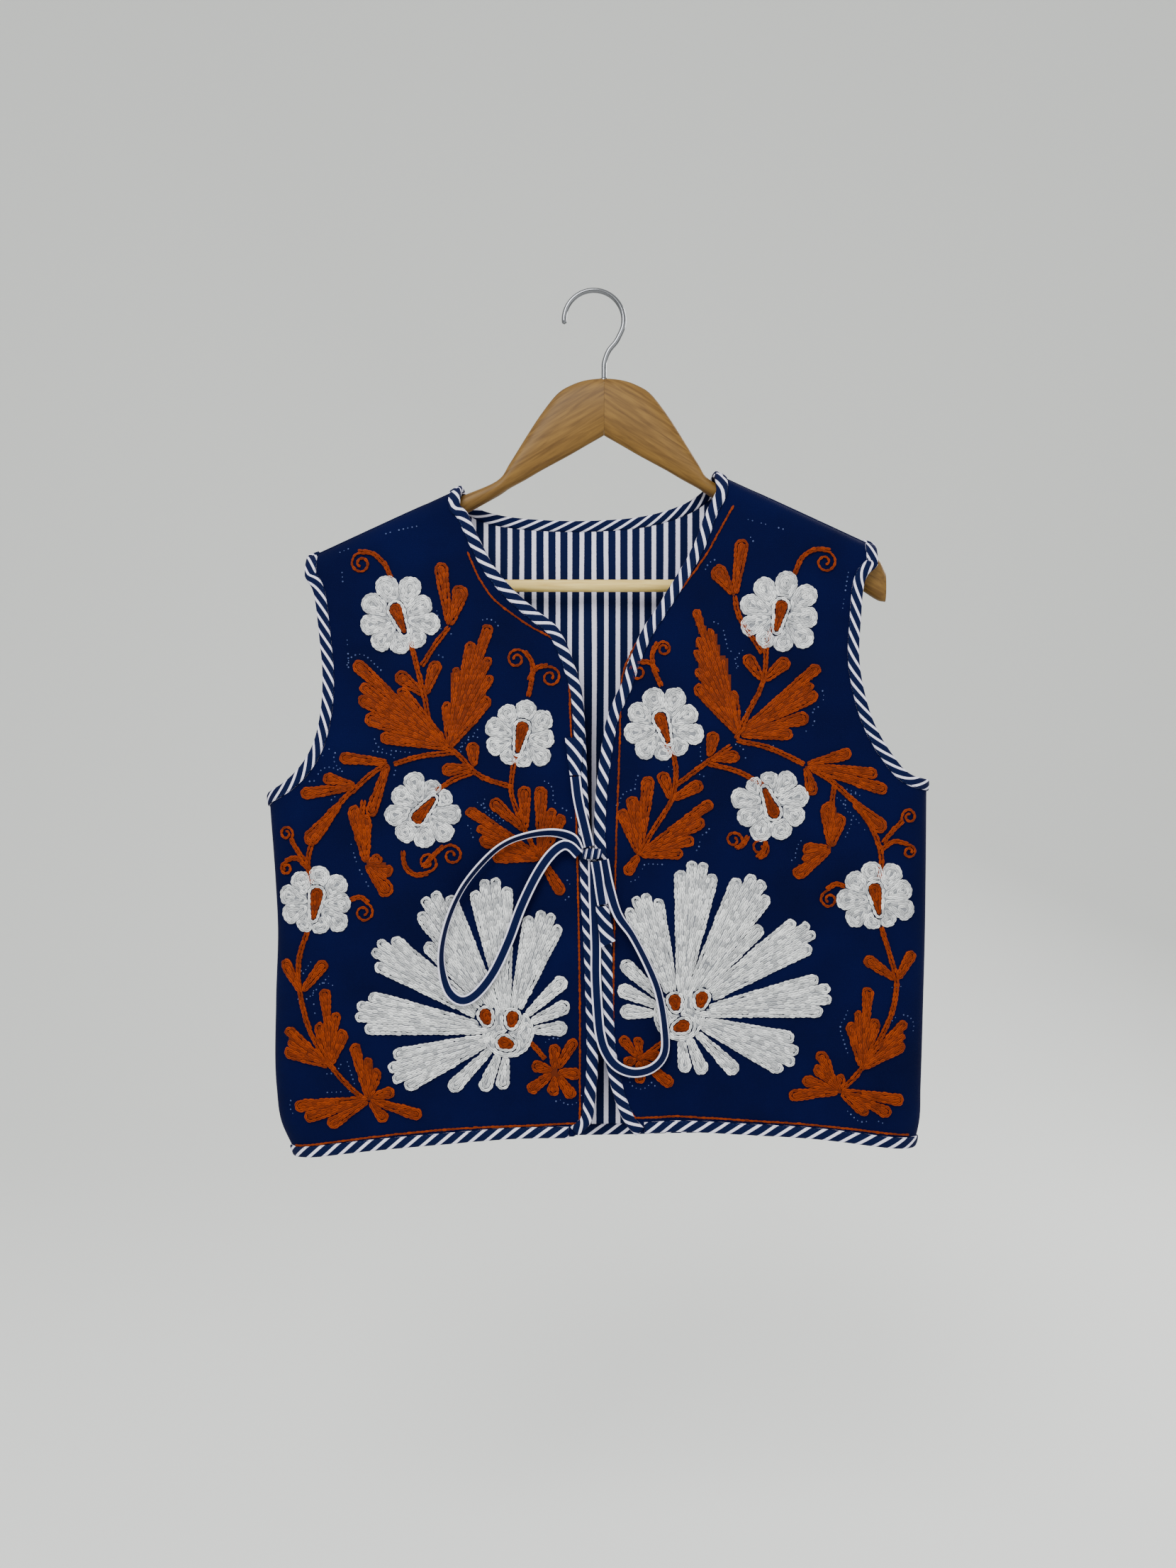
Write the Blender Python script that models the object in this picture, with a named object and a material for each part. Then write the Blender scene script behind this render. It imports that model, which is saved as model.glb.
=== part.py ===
"""Embroidered waistcoat of navy cotton, hanging on a wooden hanger.

The origin is the inside top of the hanger's hook. X is across the garment, the front faces -Y and Z is up.
All sizes below are in millimetres, and solid() turns them into metres. Left and right are as seen from the front.
"""
import math

import bpy
import numpy as np

METRES = 0.001

# Cloth
CLOTH = 2.4             # thickness of a front, both layers together
BACK_SHELL = 1.2        # navy layer of the back
LINING = 0.9            # striped layer of the back
SEAM_GAP = 0.3          # clearance between neighbouring pieces
LINING_GAP = 0.45       # clearance between the two layers of the back
HALF_DEPTH = 18.0       # from the middle plane to the outside of a front or the back
SIDE_ROUND = 30.0       # width over which a side turns from front to back
SIDE_SEAM_ANGLE = 100   # degrees round the side, from the front, where the side seam lies
SHOULDER_NECK_X = 90.0  # where SHOULDER_TOP is measured
SHOULDER_TOP = -142.0   # height of the shoulder line there
SHOULDER_SLOPE = 0.462  # fall of the shoulder line for each unit outward
SHOULDER_SEAM_ANGLE = 60  # degrees up the front of the shoulder's round, where the seam lies

# Soft folds of the cloth, as waves across it and a slow belly down it
RIPPLE = 0.72           # height of a wave
RIPPLE_TOP = -215.0     # height at which they begin, under the shoulders
RIPPLE_FADE = 160.0     # fall over which they reach their full height
WAVE_SHORT, WAVE_LONG, WAVE_FALL = 38.0, 57.0, 90.0
SLANTED_SHARE = 0.7     # height of the slanted waves beside the upright ones
FRONT_PHASE, BACK_PHASE = 0.9, 2.1
BELLY = 1.6
BELLY_TOP = -230.0
BELLY_LENGTH = 430.0

# Binding
BINDING = 1.0           # thickness of the folded strip
BINDING_WIDTH = 9.0     # what shows of it on each side
BINDING_CLEAR = 0.95    # clearance under its outer leg
UNDERARM_CLEAR = 1.2    # more clearance at the underarm, where the cloth turns round the side
UNDERARM_SECTIONS = 6   # sections of the binding over which that dies away
BINDING_CLEAR_IN = 0.95  # clearance under its leg inside the garment
LEAST_SLANT = 0.6       # keeps a binding from spreading where a row runs almost along its edge

# Yarn
YARN_CLEAR = 0.6        # clearance between raised stitching and the cloth
SIDE_CLEAR = 0.7        # more clearance where a motif reaches round the side
SIDE_START = 222.0      # distance out from which the cloth turns round the side
SIDE_END = 247.0        # distance out at which a motif has all of that clearance
WHITE_HEIGHT = 1.6
RUST_HEIGHT = 1.3
TOP_SHARE = 0.97        # reach of a pad's top beside its foot
SIDE_RINGS = 2          # rings inside a motif that reaches round the side, so that it bends with the cloth
FAN_HEART = 3.5         # least reach of a rust fan
PALMETTE_HEART = 24.0   # least reach of a palmette
SCALLOP_OVERLAP = 1.15  # width of a scallop beside its share of the blade
BLADE_ROUND = 0.28      # how much shorter a blade's outer scallops are
FINGER_PLACES = (-1, -0.4, 0.85, 1)     # where a finger's outline is read, as shares of its half width
SCALLOP_PLACES = (-0.9, 0, 0.9)
LEAST_STEP = 0.8        # least angle between two points of an outline
MOST_STEP = 35          # angle between two points above which more are added

# Hanger
HANGER_HALF = 222.5
BAR_RADIUS = 4.8
BAR_HALF = 208.0
BAR_REACH = 25.0        # how much of the bar's end the cut for its socket clears
BAR_Z = -229.5
WIRE_RADIUS = 2.0
HOOK_RADIUS = 23.5      # of the wire's middle
HOOK_CENTRE_X = -8.0
WOOD_TOP = -66.77       # where the wire enters the wood

# Ties
TIE_WIDTH = 8.0
TIE_THICK = 1.4

# Finished front edge and neck of each front, from the hem up
FRONT_EDGE = [
    # z, left x, right x
    (-657, -21, 25),
    (-647, -11, 16.5),
    (-629, -8, 9),
    (-605, -6, 3),
    (-577, -6, 0),
    (-545, -7, -1),
    (-513, -8, -2),
    (-480, -10, -3.5),
    (-450, -11, -5.5),
    (-425, -12, -7),
    (-398, -13.5, -6),
    (-373, -14.6, -3.5),
    (-350, -15.5, 0),
    (-330, -16.8, 4.5),
    (-311, -19, 13),
    (-294, -24, 19),
    (-278, -30, 25),
    (-264, -38, 32),
    (-252, -53, 40),
    (-236, -71, 50),
    (-218, -86, 61),
    (-198, -97, 71.5),
    (-176, -107, 79.5),
]
NECK_POINT = {"left": -113.0, "right": 88.0}
TIP_X = {"left": -231.0, "right": 211.0}

# Armhole of each front, from its lowest point up to the shoulder tip
ARMHOLE = [
    # left x, left z, right x, right z
    (-249, -386, 237, -379),
    (-234, -372, 221, -362),
    (-224, -354, 208, -339),
    (-218.5, -330, 200.5, -315),
    (-217, -302, 196.5, -289),
    (-219.5, -273, 197.5, -262),
    (-224, -238, 201, -228),
]
UNDERARM_Z = {"left": -397.0, "right": -384.0}
BACK_ARMHOLE_OUT = 5.0  # how far the back's armhole lies outside the front's

# Side fold: the garment's widest reach at each height
SIDE = [
    # z, left x, right x
    (-690, -238, 238),
    (-676, -243, 242),
    (-650, -254.5, 248.5),
    (-624, -258, 249.5),
    (-556, -258.5, 251.5),
    (-497, -257, 253),
    (-458, -259, 253.5),
    (-396, -263.5, 254),
    (-150, -263.5, 254),
]

SEAM_X = 270.0          # where the hem's height is read for the side seams
HEM_Z = -670.0          # height at which the flat of the back's hem is read
UNDERARM_NEAR = 2.0     # how far above the underarm the lower part of a front edge may end

# Hem height across the garment
HEM = [
    # x, front z, back z
    (-290, -679, -679),
    (-245, -676, -677),
    (-182, -669, -672),
    (-125, -664, -668),
    (-67, -659.5, -666),
    (-21, -658.5, -665.5),
    (25, -655.5, -665),
    (58, -654, -664),
    (105, -656.5, -664),
    (163, -660, -665),
    (235, -668, -669),
    (290, -671, -671),
]

# Back neckline between the two points where it comes over the shoulders
BACK_NECK = [
    # x, z
    (-111, -152),
    (-104, -164),
    (-86, -171),
    (-55, -175),
    (-14, -176),
    (28, -173),
    (60, -164.5),
    (79, -153),
    (86, -141),
]

# Flowers: the heart, the reach along and across, and the way the flower opens
FLOWERS = [
    # name, x, z, along, across, degrees
    ("flower_left_1", -158.5, -258.0, 36, 29.5, 111),
    ("flower_left_2", -65.0, -350.0, 30, 27.5, 78),
    ("flower_left_3", -139.0, -405.5, 31, 29.5, 230),
    ("flower_left_4", -223.0, -478.5, 30, 28.5, 82),
    ("flower_right_1", 135.5, -256.0, 36, 31, 78),
    ("flower_right_2", 46.0, -342.5, 33, 30, 109),
    ("flower_right_3", 128.0, -400.0, 31, 29.5, 292),
    ("flower_right_4", 210.5, -475.0, 30, 30, 100),
]
PETALS = 9
PETAL_HALF_WIDTH = 9.0
FLOWER_POINTS = 30
FLOWER_HEART = 0.62     # least reach, beside the reach across
SHORT_PETAL = 0.72      # reach of the petals at the stem
SHORT_FROM = 150        # degrees from the way the flower opens

# Palmette fingers, measured round its hub from straight outward
PALMETTE = [
    # degrees, reach, half width, scallops
    (-84, 45, 5.5, 1),
    (-67, 50, 5.5, 1),
    (-45, 64, 6, 1),
    (-20, 98, 19, 4),
    (8, 120, 18, 4),
    (33, 124, 17, 4),
    (47, 94, 5.5, 1),
    (60, 124, 19, 4),
    (83, 121, 18, 4),
    (108, 99, 17, 4),
    (137, 61, 6, 1),
    (156, 52, 6, 1),
    (176, 46, 6, 1),
]
PALMETTE_HUBS = {"left": (-74.3, -577.5), "right": (57.8, -564.3)}

# Rust motifs: fingers fanned from a hub
FANS = {
    # name: (hub x, hub z, [(degrees, reach, half width), ...])
    "leaf_left_1": (-120.0, -357.5, [
        (91, 36, 5), (85, 63, 5), (78, 84, 5), (72, 100, 5), (66, 77, 5), (60, 65, 5.5), (52, 50, 5.5),
        (131, 60, 5), (138, 99, 5), (145, 84, 5), (151, 80, 5), (160, 69, 5.5), (171, 54, 5)]),
    "leaf_left_2": (-49.1, -443.2, [
        (147, 69, 5), (154, 55, 5), (162, 50, 5.5), (178, 38, 5), (90, 56, 5), (76, 40, 5.5), (64, 38, 5),
        (-59, 33, 4.5)]),
    "leaf_left_3": (-166.9, -369.2, [(174, 38, 4.5), (-109, 44, 4.5)]),
    "leaf_left_4": (-191.3, -387.5, [(165, 27, 4.5), (188, 44, 4.5)]),
    "leaf_left_5": (-184.0, -446.9, [(101, 46, 6.5), (93, 38, 6), (-53, 31, 6), (13, 13, 6), (-20, 22, 7)]),
    "leaf_left_6": (-234.0, -546.8, [(121, 29, 4.5), (52, 31, 4.5)]),
    "leaf_left_7": (-211.9, -603.5, [
        (94, 60, 5), (104, 35, 5), (84, 42, 5), (70, 30, 5.5), (142, 45, 5), (151, 38, 5), (162, 38, 5)]),
    "leaf_left_8": (-182.1, -629.5, [
        (104, 45, 5), (92, 33, 5), (76, 25, 5), (18, 21, 4.5), (-18, 43, 4.5), (-52, 22, 4.5),
        (186, 58, 5), (196, 52, 5), (213, 38, 5)]),
    "leaf_right_1": (104.0, -347.5, [
        (100, 35, 5), (102, 64, 5), (105, 86, 5), (109, 103, 5), (113, 82, 5), (117, 74, 5), (122, 61, 5.5),
        (130, 51, 5.5), (40, 82, 5), (34, 70, 5), (28, 69, 5.5), (14, 56, 5.5), (1, 42, 5)]),
    "leaf_right_2": (26.9, -440.2, [
        (83, 61, 5), (97, 46, 5.5), (112, 38, 5), (35, 70, 5), (28, 57, 5), (15, 44, 5.5), (2, 34, 4.5),
        (-123, 19, 4.5)]),
    "leaf_right_3": (155.7, -371.4, [(16, 37, 4.5), (-7, 56, 4.5), (-17, 66, 4.5), (-76, 24, 4.5)]),
    "leaf_right_4": (175.0, -435.3, [(91, 36, 7.5), (75, 28, 6), (217, 36, 6), (187, 22, 6), (200, 24, 7)]),
    "leaf_right_5": (225.9, -537.2, [(145, 30, 4.5), (59, 26, 4.5)]),
    "leaf_right_6": (199.3, -605.5, [
        (86, 63, 5), (94, 45, 5), (103, 37, 5), (75, 40, 5), (45, 50, 5), (38, 42, 5), (30, 38, 5)]),
    "leaf_right_7": (182.6, -623.7, [
        (95, 14, 4.5), (119, 35, 5), (134, 28, 5), (185, 40, 4.5), (162, 31, 4.5), (-8, 50, 4.5),
        (-24, 43, 4.5), (-39, 28, 4.5)]),
    "star_left": (-38.1, -608.2, [
        (58, 30, 4), (91, 22, 4.5), (163, 19, 4.5), (216, 26, 4.5), (265, 19, 4.5), (305, 25, 4.5), (354, 20, 4.5)]),
    "star_right": (27.0, -597.5, [
        (131, 22, 4), (94, 17, 4), (10, 17, 4), (320, 34, 4.5), (273, 20, 4), (200, 13, 4)]),
}

# Ribbon routes
TIE_ROUTES = {
    # name: [(x, z, height over the cloth, turn of the ribbon in degrees), ...]
    "tie_run_left": [
        (-22.3, -380, 3.6, 0), (-20, -398, 3.2, 0), (-15.6, -417, 3.2, 0), (-11.6, -433.8, 3.3, 0)],
    "tie_loop_left": [
        (-19.4, -436.5, 5.4, 0), (-25, -427.0, 5.8, 15), (-41, -423, 6.5, 40), (-62.6, -426, 7.5, 55),
        (-80, -433.7, 7.5, 60), (-96, -448.5, 7.5, 60), (-110, -467, 7.5, 62), (-119.9, -489, 7.5, 62),
        (-125, -510, 7.5, 60), (-125, -528, 7.0, 50), (-120, -545, 6.0, 30), (-110, -552.5, 5.5, 10),
        (-98.6, -547.5, 5.2, 0), (-85.5, -531, 5.2, 0), (-74, -507, 5.2, 0), (-64.2, -481, 5.6, 0),
        (-52.7, -457, 6.4, 0), (-42, -441, 7.5, 0), (-32.5, -433, 8.6, 0), (-26, -433.5, 8.8, 0),
        (-19.4, -440, 8.2, 0)],
    "tie_loop_right": [
        (-0.6, -444, 4.6, 0), (3.4, -463.8, 4.7, 5), (10.1, -485.6, 5.6, 28), (21.5, -502.5, 6.8, 45),
        (34, -527, 6.8, 45), (41.5, -547, 6.6, 42), (45.8, -572, 6.4, 38), (46, -592, 6.2, 30),
        (37.4, -603.5, 5.8, 20), (23.2, -607.5, 5.4, 10), (10.1, -603, 5.2, 0), (1.3, -592, 5.0, 0),
        (-3.4, -577, 4.4, 0), (-5.6, -552, 3.6, 0), (-6.6, -531, 3.4, 0), (-6.6, -511, 3.4, 0),
        (-7.4, -486, 3.2, 0), (-8.2, -464, 3.2, 0), (-8.4, -445.2, 3.2, 0)],
    "tie_tail": [
        (-6.4, -445.2, 7.6, 0), (-4.6, -456, 7.8, 0), (-3, -468, 7.7, 0), (-1.4, -478, 6.8, 0)],
}
TIE_STATIONS = {"tie_run_left": 6, "tie_loop_left": 44, "tie_loop_right": 40, "tie_tail": 6}
KNOT = (-9.2, -439.4, 6.2)            # x, z and height over the cloth of its middle
KNOT_HALF = (7.4, 4.6, 4.2)           # half its width, height and depth
KNOT_RINGS = [
    # place as a share of half its width, size beside the middle
    (-1, 0.55),
    (-0.8, 0.85),
    (0, 1),
    (0.8, 0.85),
    (1, 0.55),
]
KNOT_TURN = 36                        # degrees between two points of a ring
# Wide ends of the ties: x and z of the corners, going round, and the height over the cloth
TIE_ENDS = {
    "tie_end_left": ([(-30.3, -350), (-15.8, -350), (-18.0, -379), (-26.5, -379)], 3.4),
    "tie_end_tail": ([(-6.6, -479.6), (3.0, -479.6), (8.4, -506), (-2.6, -511)], 6.4),
}

# Columns across a front: wide ones on the flat, close ones round the side
FRONT_COLUMNS = [0, 0.16, 0.33, 0.50, 0.67, 0.80, 0.86, 0.89, 0.92, 0.945, 0.97, 1]
# Rows from the hem to the underarm, closer where the front edge flares out
SIDE_SHARES = [0, 0.06, 0.16, 0.32, 0.49, 0.66, 0.83, 1]
SIDE_ROWS = len(SIDE_SHARES) - 1
ARMHOLE_ROWS = 10
# Rows along the armhole, closer at the underarm where it turns round the side
ARMHOLE_SHARES = [0, 0.045, 0.09, 0.14, 0.20, 0.28, 0.39, 0.53, 0.68, 0.84, 1]
FRONT_ROUND_ROWS, BACK_ROUND_ROWS = 3, 5    # over the round of the shoulder
BACK_SIDE_COLUMNS, BACK_SHOULDER_COLUMNS = 3, 1
# Columns along the back neck, closer where it comes over the shoulders
NECK_SHARES = [0, 0.03, 0.06, 0.09, 0.12, 0.16, 0.22, 0.34, 0.5, 0.66, 0.78, 0.84, 0.88, 0.91, 0.94, 0.97, 1]

# The arm of the hanger: distance out, top, bottom and half thickness
ARM = [
    # x, top z, bottom z, half thickness
    (0, -66, -111, 7),
    (14, -67.5, -119, 7),
    (26, -71.5, -126, 7),
    (37, -78.5, -132, 7),
    (50, -95, -139, 7),
    (62, -113.5, -146, 7),
    (74, -133, -152.5, 7),
    (84, -147, -159, 7),
    (112, -159.2, -174.5, 7),
    (140, -170.6, -190, 7.2),
    (165, -182.2, -206, 7.8),
    (185, -191.4, -219, 8.6),
    (203, -200.6, -233, 9),
    (215, -208, -241, 8),
    (221, -219, -242.5, 5),
]
ARM_FORWARD = 2.0       # how far the arm's end lies in front of the hanger's middle plane
SECTION_TURNS = 12


def table_at(rows, column, at):
    """A smooth reading of one column of a table whose first column falls or rises evenly."""
    keys = np.array([row[0] for row in rows], float)
    values = np.array([row[column] for row in rows], float)
    slopes = np.gradient(values, keys)
    i = int(np.clip(np.searchsorted(keys, at) - 1, 0, len(keys) - 2))
    span = keys[i + 1] - keys[i]
    t = float(np.clip((at - keys[i]) / span, 0, 1))
    a, b = values[i], values[i + 1]
    da, db = slopes[i] * span, slopes[i + 1] * span
    return (2*t**3 - 3*t**2 + 1)*a + (t**3 - 2*t**2 + t)*da + (3*t**2 - 2*t**3)*b + (t**3 - t**2)*db


def curve(points, shares):
    """A smooth curve through the points, read at these shares of its length, or at a count of even ones."""
    if isinstance(shares, int):
        shares = np.linspace(0, 1, shares)
    p = np.array(points, float)
    p = np.vstack([2*p[0] - p[1], p, 2*p[-1] - p[-2]])
    fine = []
    for i in range(1, len(p) - 2):
        a, b, c, d = p[i - 1], p[i], p[i + 1], p[i + 2]
        for t in np.linspace(0, 1, 16, endpoint=False):
            fine.append(0.5*(2*b + (c - a)*t + (2*a - 5*b + 4*c - d)*t**2 + (3*b - a - 3*c + d)*t**3))
    fine.append(p[-2])
    fine = np.array(fine)
    along = np.concatenate([[0], np.cumsum(np.linalg.norm(np.diff(fine[:, :3], axis=0), axis=1))])
    at = np.array(shares)*along[-1]
    return np.array([[np.interp(s, along, fine[:, k]) for k in range(fine.shape[1])] for s in at])


# The round of a side, as arc length against angle
ROUND_ANGLES = np.radians(np.linspace(0, 180, 181))
ROUND_ARCS = np.concatenate([[0], np.cumsum(np.hypot(
    SIDE_ROUND*np.diff(np.sin(ROUND_ANGLES)), HALF_DEPTH*np.diff(np.cos(ROUND_ANGLES))))])
FRONT_SEAM_ARC = float(np.interp(math.radians(SIDE_SEAM_ANGLE), ROUND_ANGLES, ROUND_ARCS))
BACK_SEAM_ARC = float(np.interp(math.radians(180 - SIDE_SEAM_ANGLE), ROUND_ANGLES, ROUND_ARCS))


def flat_half(u, z):
    """Where the flat of the cloth ends and the round of its side begins."""
    return abs(table_at(SIDE, 1 if u < 0 else 2, z)) - SIDE_ROUND


def along_cloth(x, z):
    """The distance along the cloth from the middle of the garment to a place x across it."""
    flat = flat_half(x, z)
    if abs(x) <= flat:
        return x
    angle = math.asin(min(1.0, (abs(x) - flat) / SIDE_ROUND))
    return math.copysign(flat + np.interp(angle, ROUND_ANGLES, ROUND_ARCS), x)


def shoulder_line(x):
    return SHOULDER_TOP - SHOULDER_SLOPE*(abs(x) - SHOULDER_NECK_X)


def ripple(side, x, z):
    """Soft folds: slow waves down the cloth, fading towards the shoulders."""
    fade = min(1.0, max(0.0, (RIPPLE_TOP - z)/RIPPLE_FADE))
    phase = FRONT_PHASE if side < 0 else BACK_PHASE
    waves = math.sin(x/WAVE_SHORT + phase) + SLANTED_SHARE*math.sin(x/WAVE_LONG - z/WAVE_FALL + 2*phase)
    belly = BELLY*math.sin(math.pi*min(1.0, max(0.0, (BELLY_TOP - z)/BELLY_LENGTH)))
    return fade*(RIPPLE*waves + belly)


def cloth(side, u, w, depth=0.0):
    """A point of the cloth: side -1 is the front and 1 the back, u runs across, w up, depth goes inward."""
    def surface(u, w):
        flat = flat_half(u, w)
        if abs(u) > flat:
            angle = float(np.interp(abs(u) - flat, ROUND_ARCS, ROUND_ANGLES))
            x, out = math.copysign(flat + SIDE_ROUND*math.sin(angle), u), math.cos(angle)
        else:
            x, out = u, 1.0
        start = shoulder_line(x) - HALF_DEPTH
        if w > start:
            angle = (w - start)/HALF_DEPTH
            z, over = start + HALF_DEPTH*math.sin(angle), math.cos(angle)
        else:
            z, over = w, 1.0
        return np.array([x, side*(HALF_DEPTH*out*over + ripple(side, x, z)*out*over), z])
    point = surface(u, w)
    if depth == 0:
        return point
    step = 0.5
    across = surface(u + step, w) - surface(u - step, w)
    up = surface(u, w + step) - surface(u, w - step)
    normal = np.cross(across, up)*(1 if side < 0 else -1)
    return point - depth*normal/np.linalg.norm(normal)


def material(name, colour, rough, metal=0.0):
    made = bpy.data.materials.get(name)
    if made is None:
        made = bpy.data.materials.new(name)
        made.use_nodes = True
        shader = made.node_tree.nodes["Principled BSDF"]
        shader.inputs["Base Color"].default_value = (*colour, 1)
        shader.inputs["Roughness"].default_value = rough
        shader.inputs["Metallic"].default_value = metal
    return made


NAVY = ("navy_cotton", (0.004, 0.011, 0.070), 0.85)
STRIPE = ("striped_cotton", (0.18, 0.24, 0.45), 0.8)
WHITE = ("white_yarn", (0.80, 0.82, 0.80), 0.6)
RUST = ("rust_yarn", (0.42, 0.10, 0.020), 0.75)
WOOD = ("hanger_wood", (0.40, 0.20, 0.075), 0.45)
BAR_WOOD = ("bar_wood", (0.62, 0.42, 0.20), 0.45)
CHROME = ("chrome_wire", (0.75, 0.76, 0.78), 0.15, 1.0)


def solid(name, points, faces, look):
    """One closed body from points in millimetres, with its faces turned outward."""
    mesh = bpy.data.meshes.new(name)
    mesh.from_pydata([tuple(p*METRES) for p in np.asarray(points, float)], [], faces)
    mesh.materials.append(material(*look))
    placed = bpy.data.objects.new(name, mesh)
    bpy.context.scene.collection.objects.link(placed)
    corners = np.asarray(points, float)
    volume = sum(np.dot(corners[f[0]], np.cross(corners[f[i]], corners[f[i + 1]]))
                 for f in faces for i in range(1, len(f) - 1))
    if volume < 0:
        mesh.flip_normals()
    mesh.shade_smooth()
    mesh.set_sharp_from_angle(angle=math.radians(35))
    return placed


def loft(name, rings, look, tips=None):
    """A closed skin over rings of equally many points, closed by a flat face or by a tip at each end."""
    size = len(rings[0])
    points = [p for ring in rings for p in ring]
    faces = [(i*size + k, i*size + (k + 1) % size, (i + 1)*size + (k + 1) % size, (i + 1)*size + k)
             for i in range(len(rings) - 1) for k in range(size)]
    if tips:
        first, last = len(points), len(points) + 1
        points += tips
        base = (len(rings) - 1)*size
        faces += [(first, (k + 1) % size, k) for k in range(size)]
        faces += [(last, base + k, base + (k + 1) % size) for k in range(size)]
    else:
        faces += [tuple(reversed(range(size))), tuple(range((len(rings) - 1)*size, len(rings)*size))]
    return solid(name, points, faces, look)


def wall(name, side, grid, outer, inner, look):
    """A cloth wall over a grid of (u, w) places, between two depths under the garment's outer face."""
    rows, columns = len(grid), len(grid[0])
    layers = [[cloth(side, u, w, depth) if depth else cloth(side, u, w) for row in grid for u, w in row]
              for depth in (outer, inner)]
    points = layers[0] + layers[1]
    under = rows*columns
    faces = []
    for i in range(rows - 1):
        for k in range(columns - 1):
            a, b = i*columns + k, i*columns + k + 1
            c, d = b + columns, a + columns
            if np.linalg.norm(grid[i][k] - grid[i + 1][k + 1]) > np.linalg.norm(grid[i][k + 1] - grid[i + 1][k]):
                a, b, c, d = b, c, d, a
            faces += [(a, b, c), (a, c, d), (under + c, under + b, under + a), (under + d, under + c, under + a)]
    rim = ([k for k in range(columns)] + [i*columns + columns - 1 for i in range(1, rows)]
           + [(rows - 1)*columns + k for k in range(columns - 2, -1, -1)]
           + [i*columns for i in range(rows - 2, 0, -1)])
    for a, b in zip(rim, rim[1:] + rim[:1]):
        faces.append((b, a, under + a, under + b))
    return solid(name, points, faces, look)


def patch(bottom, top, inner, outer):
    """Grid between four edges: bottom and top run from the inner to the outer edge, each edge has its own curve."""
    rows, columns = len(inner), len(bottom)
    across = np.concatenate([[0], np.cumsum(np.linalg.norm(np.diff(bottom, axis=0), axis=1))])
    upward = np.concatenate([[0], np.cumsum(np.linalg.norm(np.diff(inner, axis=0), axis=1))])
    across, upward = across/across[-1], upward/upward[-1]
    grid = []
    for i in range(rows):
        t = upward[i]
        row = []
        for k in range(columns):
            s = across[k]
            corners = ((1 - s)*(1 - t)*bottom[0] + s*(1 - t)*bottom[-1] + (1 - s)*t*top[0] + s*t*top[-1])
            row.append((1 - s)*inner[i] + s*outer[i] + (1 - t)*bottom[k] + t*top[k] - corners)
        grid.append(row)
    return grid


def side_edge(which, arc, low, high):
    """The side seam from the hem up to the underarm."""
    sign = -1 if which == "left" else 1
    heights = [low + (high - low)*share for share in SIDE_SHARES]
    return [np.array([sign*(flat_half(sign, z) + arc), z]) for z in heights]


def round_start(x):
    """Where the round of the shoulder begins, above a place x of the cloth."""
    return np.array([x, shoulder_line(x) - HALF_DEPTH])


def armhole_edge(which, out, seam, top, round_rows):
    """The armhole from the side seam up to the shoulder, as places on the cloth."""
    sign, x_column = (-1, 0) if which == "left" else (1, 2)
    points = [seam]
    for row in ARMHOLE:
        x, z = row[x_column] + sign*out, row[x_column + 1]
        if z < shoulder_line(x) - HALF_DEPTH:
            points.append(np.array([along_cloth(x, z), z]))
    start = round_start(top[0])
    points.append(start)
    over = [start + (top - start)*t for t in np.linspace(0, 1, round_rows + 1)]
    return list(curve(points, ARMHOLE_SHARES)) + over[1:]


def seam_top(x, angle):
    """The end of the cloth at the shoulder seam, this many degrees over the round of the shoulder."""
    return np.array([x, shoulder_line(x) + (math.radians(angle)*HALF_DEPTH - HALF_DEPTH - SEAM_GAP/2)])


def front_grid(which):
    sign, column = (-1, 1) if which == "left" else (1, 2)
    seam_z = table_at(HEM, 1, sign*SEAM_X)
    side = side_edge(which, FRONT_SEAM_ARC - SEAM_GAP/2, seam_z, UNDERARM_Z[which])
    tip, neck = TIP_X[which], NECK_POINT[which]
    outer = side + armhole_edge(which, 0, side[-1], seam_top(tip, SHOULDER_SEAM_ANGLE), FRONT_ROUND_ROWS)[1:]
    start = round_start(neck)
    edge = [np.array([row[column], row[0]]) for row in FRONT_EDGE] + [start]
    low = [p for p in edge if p[1] <= UNDERARM_Z[which] + UNDERARM_NEAR]
    high = [low[-1]] + [p for p in edge if p[1] > UNDERARM_Z[which] + UNDERARM_NEAR]
    end = seam_top(neck, SHOULDER_SEAM_ANGLE)
    over = [start + (end - start)*t for t in np.linspace(0, 1, FRONT_ROUND_ROWS + 1)]
    inner = list(curve(low, SIDE_SHARES)) + list(curve(high, ARMHOLE_ROWS + 1))[1:] + over[1:]
    start, end = inner[0], outer[0]
    bottom = [np.array([u, table_at(HEM, 1, u)]) for u in start[0] + (end[0] - start[0])*np.array(FRONT_COLUMNS)]
    bottom[0], bottom[-1] = start, end
    top = [seam_top(x, SHOULDER_SEAM_ANGLE) for x in neck + (tip - neck)*np.array(FRONT_COLUMNS)]
    return patch(bottom, top, inner, outer)


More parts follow.
